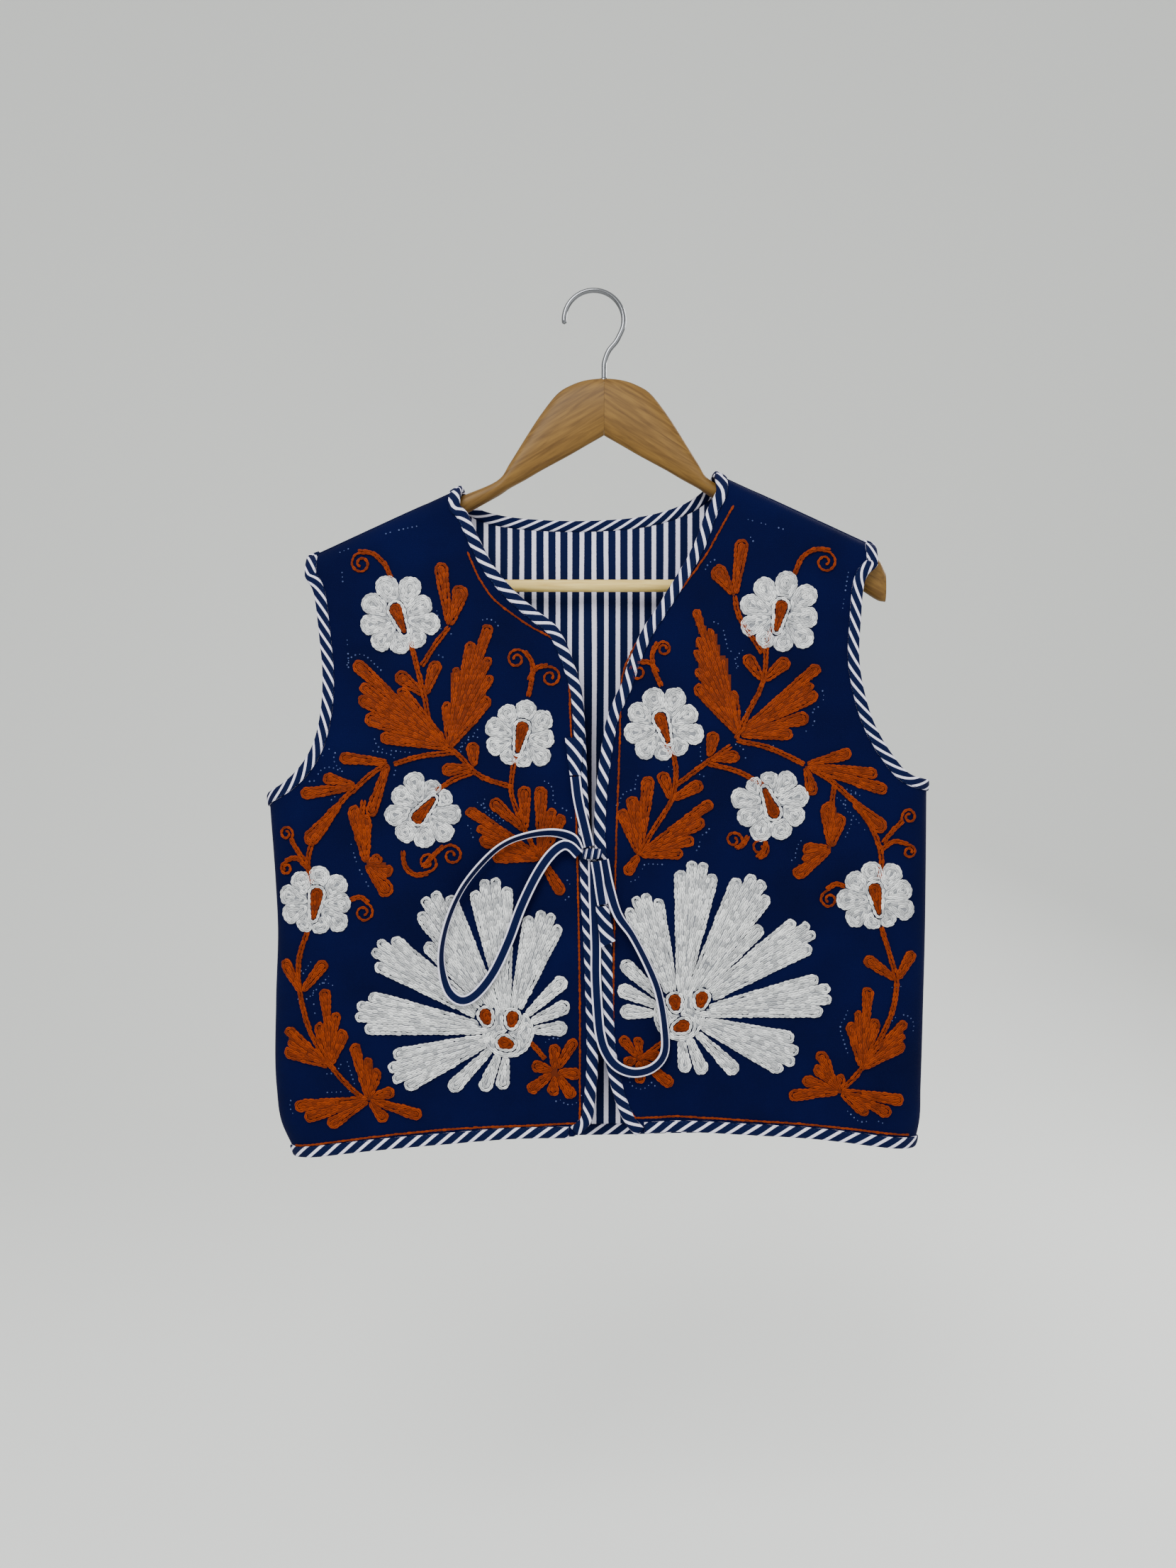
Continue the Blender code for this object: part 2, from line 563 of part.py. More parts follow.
def back_grid():
    outers = {}
    angle = 180 - SHOULDER_SEAM_ANGLE
    for which, sign in (("left", -1), ("right", 1)):
        seam_z = table_at(HEM, 2, sign*SEAM_X)
        side = side_edge(which, BACK_SEAM_ARC - SEAM_GAP/2, seam_z, UNDERARM_Z[which])
        hole = armhole_edge(which, BACK_ARMHOLE_OUT, side[-1], seam_top(TIP_X[which], angle), BACK_ROUND_ROWS)
        outers[which] = side + hole[1:]
    shoulder = BACK_SIDE_COLUMNS + BACK_SHOULDER_COLUMNS
    left = [seam_top(x, angle) for x in np.linspace(TIP_X["left"], NECK_POINT["left"], shoulder + 1)]
    right = [seam_top(x, angle) for x in np.linspace(NECK_POINT["right"], TIP_X["right"], shoulder + 1)]
    neck = curve([left[-1]] + [np.array(p, float) for p in BACK_NECK] + [right[0]], NECK_SHARES)
    top = left + list(neck)[1:-1] + right
    start, end = outers["left"][0], outers["right"][0]
    flat = (flat_half(-1, HEM_Z), flat_half(1, HEM_Z))
    spans = ([start[0] + (-flat[0] - start[0])*t for t in np.linspace(0, 1, BACK_SIDE_COLUMNS + 1)]
             + list(np.linspace(-flat[0], flat[1], len(top) - 2*BACK_SIDE_COLUMNS))[1:-1]
             + [flat[1] + (end[0] - flat[1])*t for t in np.linspace(0, 1, BACK_SIDE_COLUMNS + 1)])
    bottom = [np.array([u, table_at(HEM, 2, u)]) for u in spans]
    bottom[0], bottom[-1] = start, end
    return patch(bottom, top, outers["left"], outers["right"])


def on_row(side, row, out, depth, beyond):
    """A place on a row of the cloth's own facets, out from its edge, depth under the outer face."""
    if out <= 0:
        return cloth(side, *(row[0] - beyond*out), depth)
    for start, end in zip(row, row[1:]):
        length = np.linalg.norm(end - start)
        if out <= length:
            return cloth(side, *start, depth)*(1 - out/length) + cloth(side, *end, depth)*(out/length)
        out -= length
    return cloth(side, *row[-1], depth)


def binding_rings(side, rows, from_underarm=False):
    """Folded strip round a cloth edge: for each row of the cloth, edge first, the U of its section.

    At the underarm the fold stands up from the side seam, so that the front's and the back's ends meet there.
    """
    reach = BINDING_WIDTH - BINDING - SEAM_GAP
    fold, under_fold = -BINDING - SEAM_GAP, -SEAM_GAP
    rings = []
    ways = np.gradient(np.array([row[0] for row in rows]), axis=0)
    for i, (row, way) in enumerate(zip(rows, ways)):
        more = UNDERARM_CLEAR*max(0, 1 - i/UNDERARM_SECTIONS) if from_underarm else 0
        under_outer, under_inner = -BINDING_CLEAR - more, CLOTH + BINDING_CLEAR_IN
        outer, inner = under_outer - BINDING, under_inner + BINDING
        section = [(reach, outer), (fold + BINDING/2, outer), (fold, CLOTH/2), (fold + BINDING/2, inner),
                   (reach, inner), (reach, under_inner), (under_fold, under_inner), (under_fold, under_outer),
                   (reach, under_outer)]
        beyond = np.array([way[1], -way[0]])/np.linalg.norm(way)
        beyond *= np.sign(np.dot(beyond, row[0] - row[1]))
        if from_underarm and i == 0:
            beyond = np.array([0, 1])
        slant = slant_of(row, way)
        rings.append([on_row(side, row, a/slant, b, beyond) for a, b in section])
    return rings


def slant_of(row, way):
    """How squarely a row leaves the edge that it starts from: 1 is at right angles."""
    inward = row[1] - row[0]
    square = abs(way[0]*inward[1] - way[1]*inward[0])/np.linalg.norm(way)/np.linalg.norm(inward)
    return max(square, LEAST_SLANT)


def mixed(first, second, share):
    """A row between two neighbouring rows."""
    return [a + (b - a)*share for a, b in zip(first, second)]


def straight_row(place, way):
    """A row of three places from the edge, going one way across the cloth."""
    return [place + way/np.linalg.norm(way)*BINDING_WIDTH*share for share in (0, 0.5, 1)]


def seam_end(columns):
    """The last column, drawn back a little from the side seam."""
    return mixed(columns[-1], columns[-2], SEAM_GAP/np.linalg.norm(columns[-1][0] - columns[-2][0]))


def make_bindings(fronts, back):
    below = np.array([0, -BINDING - SEAM_GAP])
    for which, grid in fronts.items():
        rows = [row[:4] for row in grid]
        rows = [[place + below for place in rows[0]]] + rows
        loft(f"binding_front_{which}", binding_rings(-1, rows), STRIPE)
        columns = [[row[k] for row in grid[:3]] for k in range(len(grid[0]))]
        flare = slant_of(grid[0], grid[1][0] - grid[0][0])
        share = BINDING_WIDTH/flare/np.linalg.norm(grid[0][1] - grid[0][0])
        hem = [mixed(columns[0], columns[1], share)] + columns[1:-1] + [seam_end(columns)]
        loft(f"binding_hem_{which}", binding_rings(-1, hem), STRIPE)
        front_hole = [row[:-5:-1] for row in grid[SIDE_ROWS:]]
        back_hole = [row[:4] if which == "left" else row[:-5:-1] for row in back[SIDE_ROWS:]]
        rings = binding_rings(-1, front_hole, True) + binding_rings(1, back_hole, True)[::-1][1:]
        loft(f"binding_armhole_{which}", rings, STRIPE)
    columns = [[row[k] for row in back[:3]] for k in range(len(back[0]))]
    hem = [seam_end(columns[::-1])] + columns[1:-1] + [seam_end(columns)]
    loft("binding_hem_back", binding_rings(1, hem), STRIPE)
    shoulder = BACK_SIDE_COLUMNS + BACK_SHOULDER_COLUMNS
    neck = np.array(back[-1][shoulder:len(back[-1]) - shoulder])
    along = np.gradient(neck, axis=0)
    inward = np.array([along[:, 1], -along[:, 0]]).T
    inward[0], inward[-1] = (-1, -SHOULDER_SLOPE), (1, -SHOULDER_SLOPE)
    rows = [straight_row(place, way) for place, way in zip(neck, inward)]
    loft("binding_neck_back", binding_rings(1, rows), STRIPE)


def finger_reach(angle, fingers, least):
    """How far a fan of round-ended fingers reaches from its hub at an angle."""
    best = least
    for degrees, reach, half in fingers:
        off = math.radians((angle - degrees + 180) % 360 - 180)
        centre = reach - half
        inside = half**2 - (centre*math.sin(off))**2
        if inside > 0 and math.cos(off) > 0:
            best = max(best, centre*math.cos(off) + math.sqrt(inside))
    return best


def fan_angles(fingers, places):
    """Angles that catch each finger's end and flanks, and fill the rest of the circle."""
    marks = set()
    for degrees, reach, half in fingers:
        flank = math.degrees(math.asin(min(0.99, half/(reach - half))))
        marks |= {round((degrees + flank*f) % 360, 2) for f in places}
    marks = sorted(marks)
    kept = [marks[0]]
    for mark in marks[1:]:
        if mark - kept[-1] > LEAST_STEP:
            kept.append(mark)
    filled = []
    for a, b in zip(kept, kept[1:] + [kept[0] + 360]):
        steps = max(1, int((b - a)//MOST_STEP) + 1)
        filled += [a + (b - a)*i/steps for i in range(steps)]
    return filled


def raised(x, z, lift):
    """The point of the front at x and z, lifted off the cloth."""
    return cloth(-1, along_cloth(x, z), z, -lift)


def pad(name, hub, outline, height, look, inner_rings=0):
    """Raised stitching on the front: a low solid over an outline of (degrees, reach) round its hub."""
    furthest = max(abs(hub[0] + reach*math.cos(math.radians(a))) for a, reach in outline)
    clear = YARN_CLEAR + SIDE_CLEAR*float(np.clip((furthest - SIDE_START)/(SIDE_END - SIDE_START), 0, 1))
    if furthest > SIDE_START:
        inner_rings = SIDE_RINGS

    def ring(share, lift):
        places = [(hub[0] + share*reach*math.cos(math.radians(a)), hub[1] + share*reach*math.sin(math.radians(a)))
                  for a, reach in outline]
        return [raised(x, z, lift) for x, z in places]
    shares = [(i + 1)/(inner_rings + 1) for i in range(inner_rings)]
    rings = [ring(s, clear) for s in shares] + [ring(1, clear)]
    rings += [ring(TOP_SHARE, clear + height)] + [ring(s, clear + height) for s in reversed(shares)]
    return loft(name, rings, look, [raised(*hub, clear), raised(*hub, clear + height)])


def make_flowers():
    for name, x, z, along, across, degrees in FLOWERS:
        petals = []
        for i in range(PETALS):
            off = 360*(i + 0.5)/PETALS - 180
            reach = math.hypot(along*math.cos(math.radians(off)), across*math.sin(math.radians(off)))
            if abs(off) > SHORT_FROM:
                reach *= SHORT_PETAL
            petals.append((degrees + off, reach, PETAL_HALF_WIDTH))
        angles = [i*360/FLOWER_POINTS + degrees for i in range(FLOWER_POINTS)]
        outline = [(a, finger_reach(a, petals, FLOWER_HEART*across)) for a in angles]
        pad(name, (x, z), outline, WHITE_HEIGHT, WHITE)


def make_palmettes():
    for which, hub in PALMETTE_HUBS.items():
        fingers = []
        for degrees, reach, half, scallops in PALMETTE:
            spread = math.degrees(math.atan(half/reach))*2*(1 - 1/scallops)
            narrow = half/scallops*SCALLOP_OVERLAP if scallops > 1 else half
            for i in range(scallops):
                share = i/(scallops - 1) - 0.5 if scallops > 1 else 0
                angle = degrees + share*spread
                fingers.append((180 - angle if which == "left" else angle, reach*(1 - BLADE_ROUND*share**2), narrow))
        angles = fan_angles(fingers, SCALLOP_PLACES)
        outline = [(a, finger_reach(a, fingers, PALMETTE_HEART)) for a in angles]
        pad(f"palmette_{which}", hub, outline, WHITE_HEIGHT, WHITE, 1)


def make_fans():
    for name, (x, z, fingers) in FANS.items():
        outline = [(a, finger_reach(a, fingers, FAN_HEART)) for a in fan_angles(fingers, FINGER_PLACES)]
        pad(name, (x, z), outline, RUST_HEIGHT, RUST)


def make_ties():
    half, thick = TIE_WIDTH/2, TIE_THICK/2
    for name, route in TIE_ROUTES.items():
        stations = curve(route, TIE_STATIONS[name])
        centres = [cloth(-1, x, z, -lift) for x, z, lift, _ in stations]
        ways = np.gradient(np.array(centres), axis=0)
        rings = []
        for centre, way, (_, _, _, turn) in zip(centres, ways, stations):
            way = way/np.linalg.norm(way)
            flat = np.cross(way, (0, -1, 0))
            flat /= np.linalg.norm(flat)
            up = np.cross(flat, way)
            c, s = math.cos(math.radians(turn)), math.sin(math.radians(turn))
            wide, high = c*flat + s*up, c*up - s*flat
            rings.append([centre + wide*a + high*b
                          for a, b in ((half, -thick), (half, thick), (-half, thick), (-half, -thick))])
        loft(name, rings, STRIPE)
    x, z, lift = KNOT
    centre = cloth(-1, x, z, -lift)
    wide, tall, deep = KNOT_HALF
    rings = []
    for share, size in KNOT_RINGS:
        rings.append([centre + np.array([share*wide, deep*size*math.cos(a), tall*size*math.sin(a)])
                      for a in np.radians(np.arange(0, 360, KNOT_TURN))])
    loft("tie_knot", rings, STRIPE)
    for name, (corners, lift) in TIE_ENDS.items():
        rings = [[cloth(-1, x, z, -height) for x, z in corners]
                 for height in (lift - TIE_THICK/2, lift + TIE_THICK/2)]
        loft(name, rings, STRIPE)


def arm_section(x, top, bottom, half):
    """A rounded upright section of the arm."""
    middle, tall = (top + bottom)/2, (top - bottom)/2
    lean = -ARM_FORWARD*(x/HANGER_HALF)**2
    points = []
    for a in np.radians(np.arange(0, 360, 360/SECTION_TURNS) + 15):
        c, s = math.cos(a), math.sin(a)
        points.append((lean + half*math.copysign(abs(c)**0.8, c), middle + tall*s))
    return points


def make_hanger():
    for which, sign in (("left", -1), ("right", 1)):
        rings = []
        for x, top, bottom, half in ARM:
            x_at = max(x, SEAM_GAP/2)
            rings.append([np.array([sign*x_at, y, z]) for y, z in arm_section(x, top, bottom, half)])
        arm = loft(f"hanger_arm_{which}", rings, WOOD)
        socket = round_bar(f"bar_socket_{which}", sign*(BAR_HALF - BAR_REACH), sign*(BAR_HALF + SEAM_GAP),
                           BAR_RADIUS + SEAM_GAP, WOOD)
        socket.hide_render = True
        socket.display_type = "WIRE"
        cut = arm.modifiers.new("bar socket", "BOOLEAN")
        cut.operation = "DIFFERENCE"
        cut.object = socket
    round_bar("hanger_bar", -BAR_HALF, BAR_HALF, BAR_RADIUS, BAR_WOOD)


def round_bar(name, start, end, radius, look):
    angles = np.radians(np.arange(0, 360, 30))
    rings = [[np.array([x, radius*math.cos(a), BAR_Z + radius*math.sin(a)]) for a in angles] for x in (start, end)]
    return loft(name, rings, look)


def make_hook():
    """Chrome wire: a round hook over the origin, then an easy bend down into the wood."""
    centre_z = WIRE_RADIUS - math.sqrt(HOOK_RADIUS**2 - HOOK_CENTRE_X**2)
    arc = [(HOOK_CENTRE_X + HOOK_RADIUS*math.cos(a), 0, centre_z + HOOK_RADIUS*math.sin(a))
           for a in np.radians(np.arange(188, -31, -15.64))]
    neck = [(9.2, 0, -37.5), (3.6, 0, -44.5), (0.4, 0, -53), (0, 0, -60), (0, 0, WOOD_TOP + SEAM_GAP)]
    route = curve(arc + neck, 32)
    rings = []
    ways = np.gradient(route, axis=0)
    for i, (place, way) in enumerate(zip(route, ways)):
        way = way/np.linalg.norm(way)
        out = np.cross(way, (0, 1, 0))
        radius = WIRE_RADIUS*(0.6 if i == 0 else 1)
        rings.append([place + radius*(math.cos(a)*np.array([0, 1, 0]) + math.sin(a)*out)
                      for a in np.radians(np.arange(0, 360, 45))])
    loft("hanger_hook", rings, CHROME)


def main():
    for old in list(bpy.context.scene.objects):
        bpy.data.objects.remove(old, do_unlink=True)
    fronts = {which: front_grid(which) for which in ("left", "right")}
    back = back_grid()
    for which, grid in fronts.items():
        wall(f"front_{which}", -1, grid, 0, CLOTH, NAVY)
    wall("back", 1, back, 0, BACK_SHELL, NAVY)
    wall("back_lining", 1, back, BACK_SHELL + LINING_GAP, BACK_SHELL + LINING_GAP + LINING, STRIPE)
    make_bindings(fronts, back)
    make_flowers()
    make_palmettes()
    make_fans()
    make_ties()
    make_hanger()
    make_hook()


main()
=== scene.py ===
"""The looks of an embroidered waistcoat that hangs on a wooden hanger.

Lengths are in millimetres up to mesh_of(), which turns them into metres. The cloth's shape and the tables of
its edges and motifs are those of the solids. Left and right are as seen from the front.
"""
import math

import bpy
import numpy as np
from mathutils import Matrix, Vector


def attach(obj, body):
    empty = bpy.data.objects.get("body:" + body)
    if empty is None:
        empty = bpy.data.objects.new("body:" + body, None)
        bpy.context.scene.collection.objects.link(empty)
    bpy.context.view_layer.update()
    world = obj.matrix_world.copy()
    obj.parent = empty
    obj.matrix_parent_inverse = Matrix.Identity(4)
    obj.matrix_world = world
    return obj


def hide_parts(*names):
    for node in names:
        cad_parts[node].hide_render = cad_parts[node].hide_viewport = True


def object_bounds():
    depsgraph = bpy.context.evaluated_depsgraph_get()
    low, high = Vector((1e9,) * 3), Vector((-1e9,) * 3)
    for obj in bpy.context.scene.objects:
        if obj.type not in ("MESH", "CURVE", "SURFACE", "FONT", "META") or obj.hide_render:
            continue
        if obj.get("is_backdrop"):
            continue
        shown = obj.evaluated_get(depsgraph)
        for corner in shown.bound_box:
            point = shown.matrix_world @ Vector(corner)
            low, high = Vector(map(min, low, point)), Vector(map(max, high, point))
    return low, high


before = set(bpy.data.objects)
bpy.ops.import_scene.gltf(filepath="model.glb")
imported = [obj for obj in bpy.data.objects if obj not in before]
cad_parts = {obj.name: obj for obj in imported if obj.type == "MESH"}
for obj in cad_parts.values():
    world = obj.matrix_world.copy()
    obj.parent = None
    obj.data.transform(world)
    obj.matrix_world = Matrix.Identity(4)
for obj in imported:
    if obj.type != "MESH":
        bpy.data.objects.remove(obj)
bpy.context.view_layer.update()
METRES = 0.001

# Cloth
CLOTH, BACK_SHELL, LINING, SEAM_GAP, LINING_GAP = 2.4, 1.2, 0.9, 0.3, 0.45
HALF_DEPTH, SIDE_ROUND, SIDE_SEAM_ANGLE = 18.0, 30.0, 100
SHOULDER_NECK_X, SHOULDER_TOP, SHOULDER_SLOPE, SHOULDER_SEAM_ANGLE = 90.0, -142.0, 0.462, 60
RIPPLE, RIPPLE_TOP, RIPPLE_FADE = 0.72, -215, 160
BELLY, BELLY_TOP, BELLY_HEIGHT = 1.6, -230, 430

# Finished front edge and neck of each front, from the hem up
FRONT_EDGE = [
    # z, left x, right x
    (-657, -21, 25), (-647, -11, 16.5), (-629, -8, 9), (-605, -6, 3), (-577, -6, 0), (-545, -7, -1),
    (-513, -8, -2), (-480, -10, -3.5), (-450, -11, -5.5), (-425, -12, -7), (-398, -13.5, -6),
    (-373, -14.6, -3.5), (-350, -15.5, 0), (-330, -16.8, 4.5), (-311, -19, 13), (-294, -24, 19),
    (-278, -30, 25), (-264, -38, 32),
    (-252, -53, 40), (-236, -71, 50), (-218, -86, 61), (-198, -97, 71.5), (-176, -107, 79.5),
]
NECK_POINT = {"left": -113.0, "right": 88.0}
TIP_X = {"left": -231.0, "right": 211.0}

# Armhole of each front, from its lowest point up to the shoulder tip
ARMHOLE = [
    # left x, left z, right x, right z
    (-249, -386, 237, -379), (-234, -372, 221, -362), (-224, -354, 208, -339), (-218.5, -330, 200.5, -315),
    (-217, -302, 196.5, -289), (-219.5, -273, 197.5, -262), (-224, -238, 201, -228),
]
UNDERARM_Z = {"left": -397.0, "right": -384.0}
BACK_ARMHOLE_OUT = {"left": 1.0, "right": 5.0}

# Side fold: the garment's widest reach at each height
SIDE = [
    # z, left x, right x
    (-690, -238, 238), (-676, -243, 242), (-650, -254.5, 248.5), (-624, -258, 249.5), (-556, -258.5, 251.5),
    (-497, -257, 253), (-458, -259, 253.5), (-396, -263.5, 254), (-150, -263.5, 254),
]

# Hem height across the garment
HEM = [
    # x, front z, back z
    (-290, -679, -679), (-245, -676, -677), (-182, -669, -672), (-125, -664, -668), (-67, -659.5, -666),
    (-21, -658.5, -665.5), (25, -655.5, -665), (58, -654, -664), (105, -656.5, -664), (163, -660, -665),
    (235, -668, -669), (290, -671, -671),
]

# Back neckline between the two points where it comes over the shoulders
BACK_NECK = [(-111, -152), (-104, -164), (-86, -171), (-55, -175), (-14, -176), (28, -173), (60, -164.5),
             (79, -153), (86, -141)]

# Soft folds: a trough where the depth is positive and a ridge where it is negative
FOLDS = [
    # side, x and z of one end, x and z of the other, half width, depth
    (-1, -236, -408, -168, -446, 8, 1.2),
    (-1, -205, -420, -140, -500, 11, -0.9),
    (-1, -90, -240, -150, -330, 12, 0.8),
    (-1, -200, -262, -205, -350, 9, 0.8),
    (-1, -206, -287, -150, -283, 5, 0.7),
    (-1, -30, -330, -66, -372, 7, 0.5),
    (-1, -210, -640, -160, -560, 10, -0.5),
    (-1, -96, -650, -90, -610, 6, 0.5),
    (-1, -52, -652, -50, -620, 6, -0.5),
    (-1, 236, -396, 170, -436, 8, 1.2),
    (-1, 196, -410, 150, -480, 10, -0.9),
    (-1, 62, -235, 110, -325, 12, 0.8),
    (-1, 182, -250, 186, -335, 9, 0.8),
    (-1, 20, -650, 24, -618, 4.5, 1.0),
    (-1, 38, -650, 40, -620, 4.5, -1.0),
    (-1, 54, -648, 58, -616, 4.5, 1.0),
    (-1, 74, -650, 76, -622, 5, -0.9),
    (-1, 96, -652, 96, -620, 5, 0.9),
    (-1, 120, -656, 116, -626, 6, -0.5),
    (1, -235, -405, -120, -480, 12, 3.4),
    (1, -240, -450, -140, -560, 15, -2.4),
    (1, 232, -395, 120, -465, 12, 3.4),
    (1, 236, -440, 140, -550, 15, -2.4),
    (1, -60, -225, -105, -430, 15, 3.0),
    (1, 40, -225, 78, -440, 15, -2.6),
    (1, -8, -215, -16, -340, 10, 2.6),
    (1, -112, -400, -150, -655, 17, -3.0),
    (1, 100, -430, 134, -660, 17, 3.0),
    (1, -24, -420, -8, -660, 19, 2.6),
    (1, 48, -470, 60, -640, 14, -2.2),
]


def table_at(rows, column, at):
    """A smooth reading of one column of a table whose first column falls or rises evenly."""
    keys = np.array([row[0] for row in rows], float)
    values = np.array([row[column] for row in rows], float)
    slopes = np.gradient(values, keys)
    at = np.asarray(at, float)
    i = np.clip(np.searchsorted(keys, at) - 1, 0, len(keys) - 2)
    span = keys[i + 1] - keys[i]
    t = np.clip((at - keys[i])/span, 0, 1)
    a, b, da, db = values[i], values[i + 1], slopes[i]*span, slopes[i + 1]*span
    return (2*t**3 - 3*t**2 + 1)*a + (t**3 - 2*t**2 + t)*da + (3*t**2 - 2*t**3)*b + (t**3 - t**2)*db


def lengths(points):
    """The distance along a line of points up to each of them."""
    steps = np.linalg.norm(np.diff(np.asarray(points, float), axis=0), axis=1)
    return np.concatenate([[0], np.cumsum(steps)])


def interpolated(rows, along, where):
    """Rows that belong to places along a line, read at other places along it."""
    return np.stack([np.interp(where, along, rows[:, k]) for k in range(rows.shape[1])], axis=-1)


def at_lengths(points, where):
    points = np.asarray(points, float)
    return interpolated(points, lengths(points), where)


def unit(vectors):
    return vectors/np.maximum(np.linalg.norm(vectors, axis=-1, keepdims=True), 1e-9)


def left_of(way):
    """Directions a quarter turn to the left of those of a flat line."""
    return np.stack([-way[..., 1], way[..., 0]], axis=-1)


def grid_faces(rows, columns):
    i, k = np.meshgrid(np.arange(rows - 1), np.arange(columns - 1), indexing="ij")
    a = (i*columns + k).ravel()
    return np.stack([a, a + 1, a + columns + 1, a + columns], axis=-1)


def tube_faces(rows, columns):
    i, k = np.meshgrid(np.arange(rows - 1), np.arange(columns), indexing="ij")
    a, b = (i*columns + k).ravel(), (i*columns + (k + 1) % columns).ravel()
    return np.stack([a, b, b + columns, a + columns], axis=-1)


def curve(points, count):
    """A smooth curve through the points, read at a count of places evenly along its length."""
    p = np.array(points, float)
    p = np.vstack([2*p[0] - p[1], p, 2*p[-1] - p[-2]])
    fine = []
    t = np.linspace(0, 1, 16, endpoint=False)[:, None]
    for a, b, c, d in zip(p, p[1:], p[2:], p[3:]):
        fine.append(0.5*(2*b + (c - a)*t + (2*a - 5*b + 4*c - d)*t**2 + (3*b - a - 3*c + d)*t**3))
    fine = np.vstack(fine + [p[-2:-1]])
    along = lengths(fine[:, :3])
    return interpolated(fine, along, np.linspace(0, along[-1], count))


ROUND_ANGLES = np.radians(np.linspace(0, 180, 181))
ROUND_ARCS = np.concatenate([[0], np.cumsum(np.hypot(
    SIDE_ROUND*np.diff(np.sin(ROUND_ANGLES)), HALF_DEPTH*np.diff(np.cos(ROUND_ANGLES))))])
FRONT_SEAM_ARC = float(np.interp(math.radians(SIDE_SEAM_ANGLE), ROUND_ANGLES, ROUND_ARCS))
BACK_SEAM_ARC = float(np.interp(math.radians(180 - SIDE_SEAM_ANGLE), ROUND_ANGLES, ROUND_ARCS))


def flat_half(u, z):
    """Where the flat of the cloth ends and the round of its side begins."""
    return np.where(u < 0, -table_at(SIDE, 1, z), table_at(SIDE, 2, z)) - SIDE_ROUND


def along_cloth(x, z):
    """The distance along the cloth from the middle of the garment to a place x across it."""
    flat = flat_half(x, z)
    angle = np.arcsin(np.clip((np.abs(x) - flat)/SIDE_ROUND, 0, 1))
    return np.where(np.abs(x) <= flat, x, np.copysign(flat + np.interp(angle, ROUND_ANGLES, ROUND_ARCS), x))


def shoulder_line(x):
    return SHOULDER_TOP - SHOULDER_SLOPE*(np.abs(x) - SHOULDER_NECK_X)


def ripple(side, x, z):
    """Slow waves down the cloth, and the listed folds."""
    fade = np.clip((RIPPLE_TOP - z)/RIPPLE_FADE, 0, 1)
    phase = 0.9 if side < 0 else 2.1
    waves = np.sin(x/38 + phase) + 0.7*np.sin(x/57 - z/90 + 2*phase)
    belly = BELLY*np.sin(np.pi*np.clip((BELLY_TOP - z)/BELLY_HEIGHT, 0, 1))
    found = fade*(RIPPLE*waves + belly)
    for of_side, xa, za, xb, zb, half, depth in FOLDS:
        if of_side == side:
            dx, dz = xb - xa, zb - za
            t = np.clip(((x - xa)*dx + (z - za)*dz)/(dx*dx + dz*dz), 0, 1)
            away = np.hypot(x - xa - t*dx, z - za - t*dz)
            found = found - depth*np.exp(-(away/half)**2)*np.sin(np.pi*(0.12 + 0.76*t))
    return found


def surface(side, u, w):
    """The outside of the cloth: u runs across it and w up it, and both bend round with it."""
    flat = flat_half(u, w)
    beyond = np.abs(u) - flat
    turn = np.interp(beyond, ROUND_ARCS, ROUND_ANGLES)
    x = np.where(beyond > 0, np.copysign(flat + SIDE_ROUND*np.sin(turn), u), u)
    out = np.where(beyond > 0, np.cos(turn), 1.0)
    start = shoulder_line(x) - HALF_DEPTH
    rise = np.maximum((w - start)/HALF_DEPTH, 0)
    z = np.where(w > start, start + HALF_DEPTH*np.sin(rise), w)
    over = np.cos(rise)
    return np.stack([x, side*(HALF_DEPTH + ripple(side, x, z))*out*over, z], axis=-1)


def cloth(side, places, depth=0.0):
    """Points of the cloth at (u, w) places: side -1 is the front and 1 the back, depth goes inward."""
    places = np.asarray(places, float)
    u, w = places[..., 0], places[..., 1]
    step = 0.5
    across = surface(side, u + step, w) - surface(side, u - step, w)
    up = surface(side, u, w + step) - surface(side, u, w - step)
    return surface(side, u, w) + side*np.asarray(depth)[..., None]*unit(np.cross(across, up))


def on_front(flat_points, lift):
    """Points over the front at x and z places, lifted off the cloth."""
    flat_points = np.asarray(flat_points, float)
    u = along_cloth(flat_points[..., 0], flat_points[..., 1])
    return cloth(-1, np.stack([u, flat_points[..., 1]], axis=-1), -np.asarray(lift, float))


# Materials
COTTON = {"Roughness": 0.85, "Specular IOR Level": 0.12}
NAVY_COTTON = {"Roughness": 0.85, "Specular IOR Level": 0.06}
WOOD_FINISH = {"Roughness": 0.5, "Specular IOR Level": 0.22}
STRIPE_BLUE, STRIPE_WHITE = (0.0004, 0.0030, 0.032, 1), (0.72, 0.70, 0.84, 1)
MAP = 100              # millimetres of cloth for one step of its map
TURNS = 0.314          # a wave texture of this scale has one wave a step
OBJECT, FAC = 3, 1     # sockets: a place in object coordinates, and the value of a wave


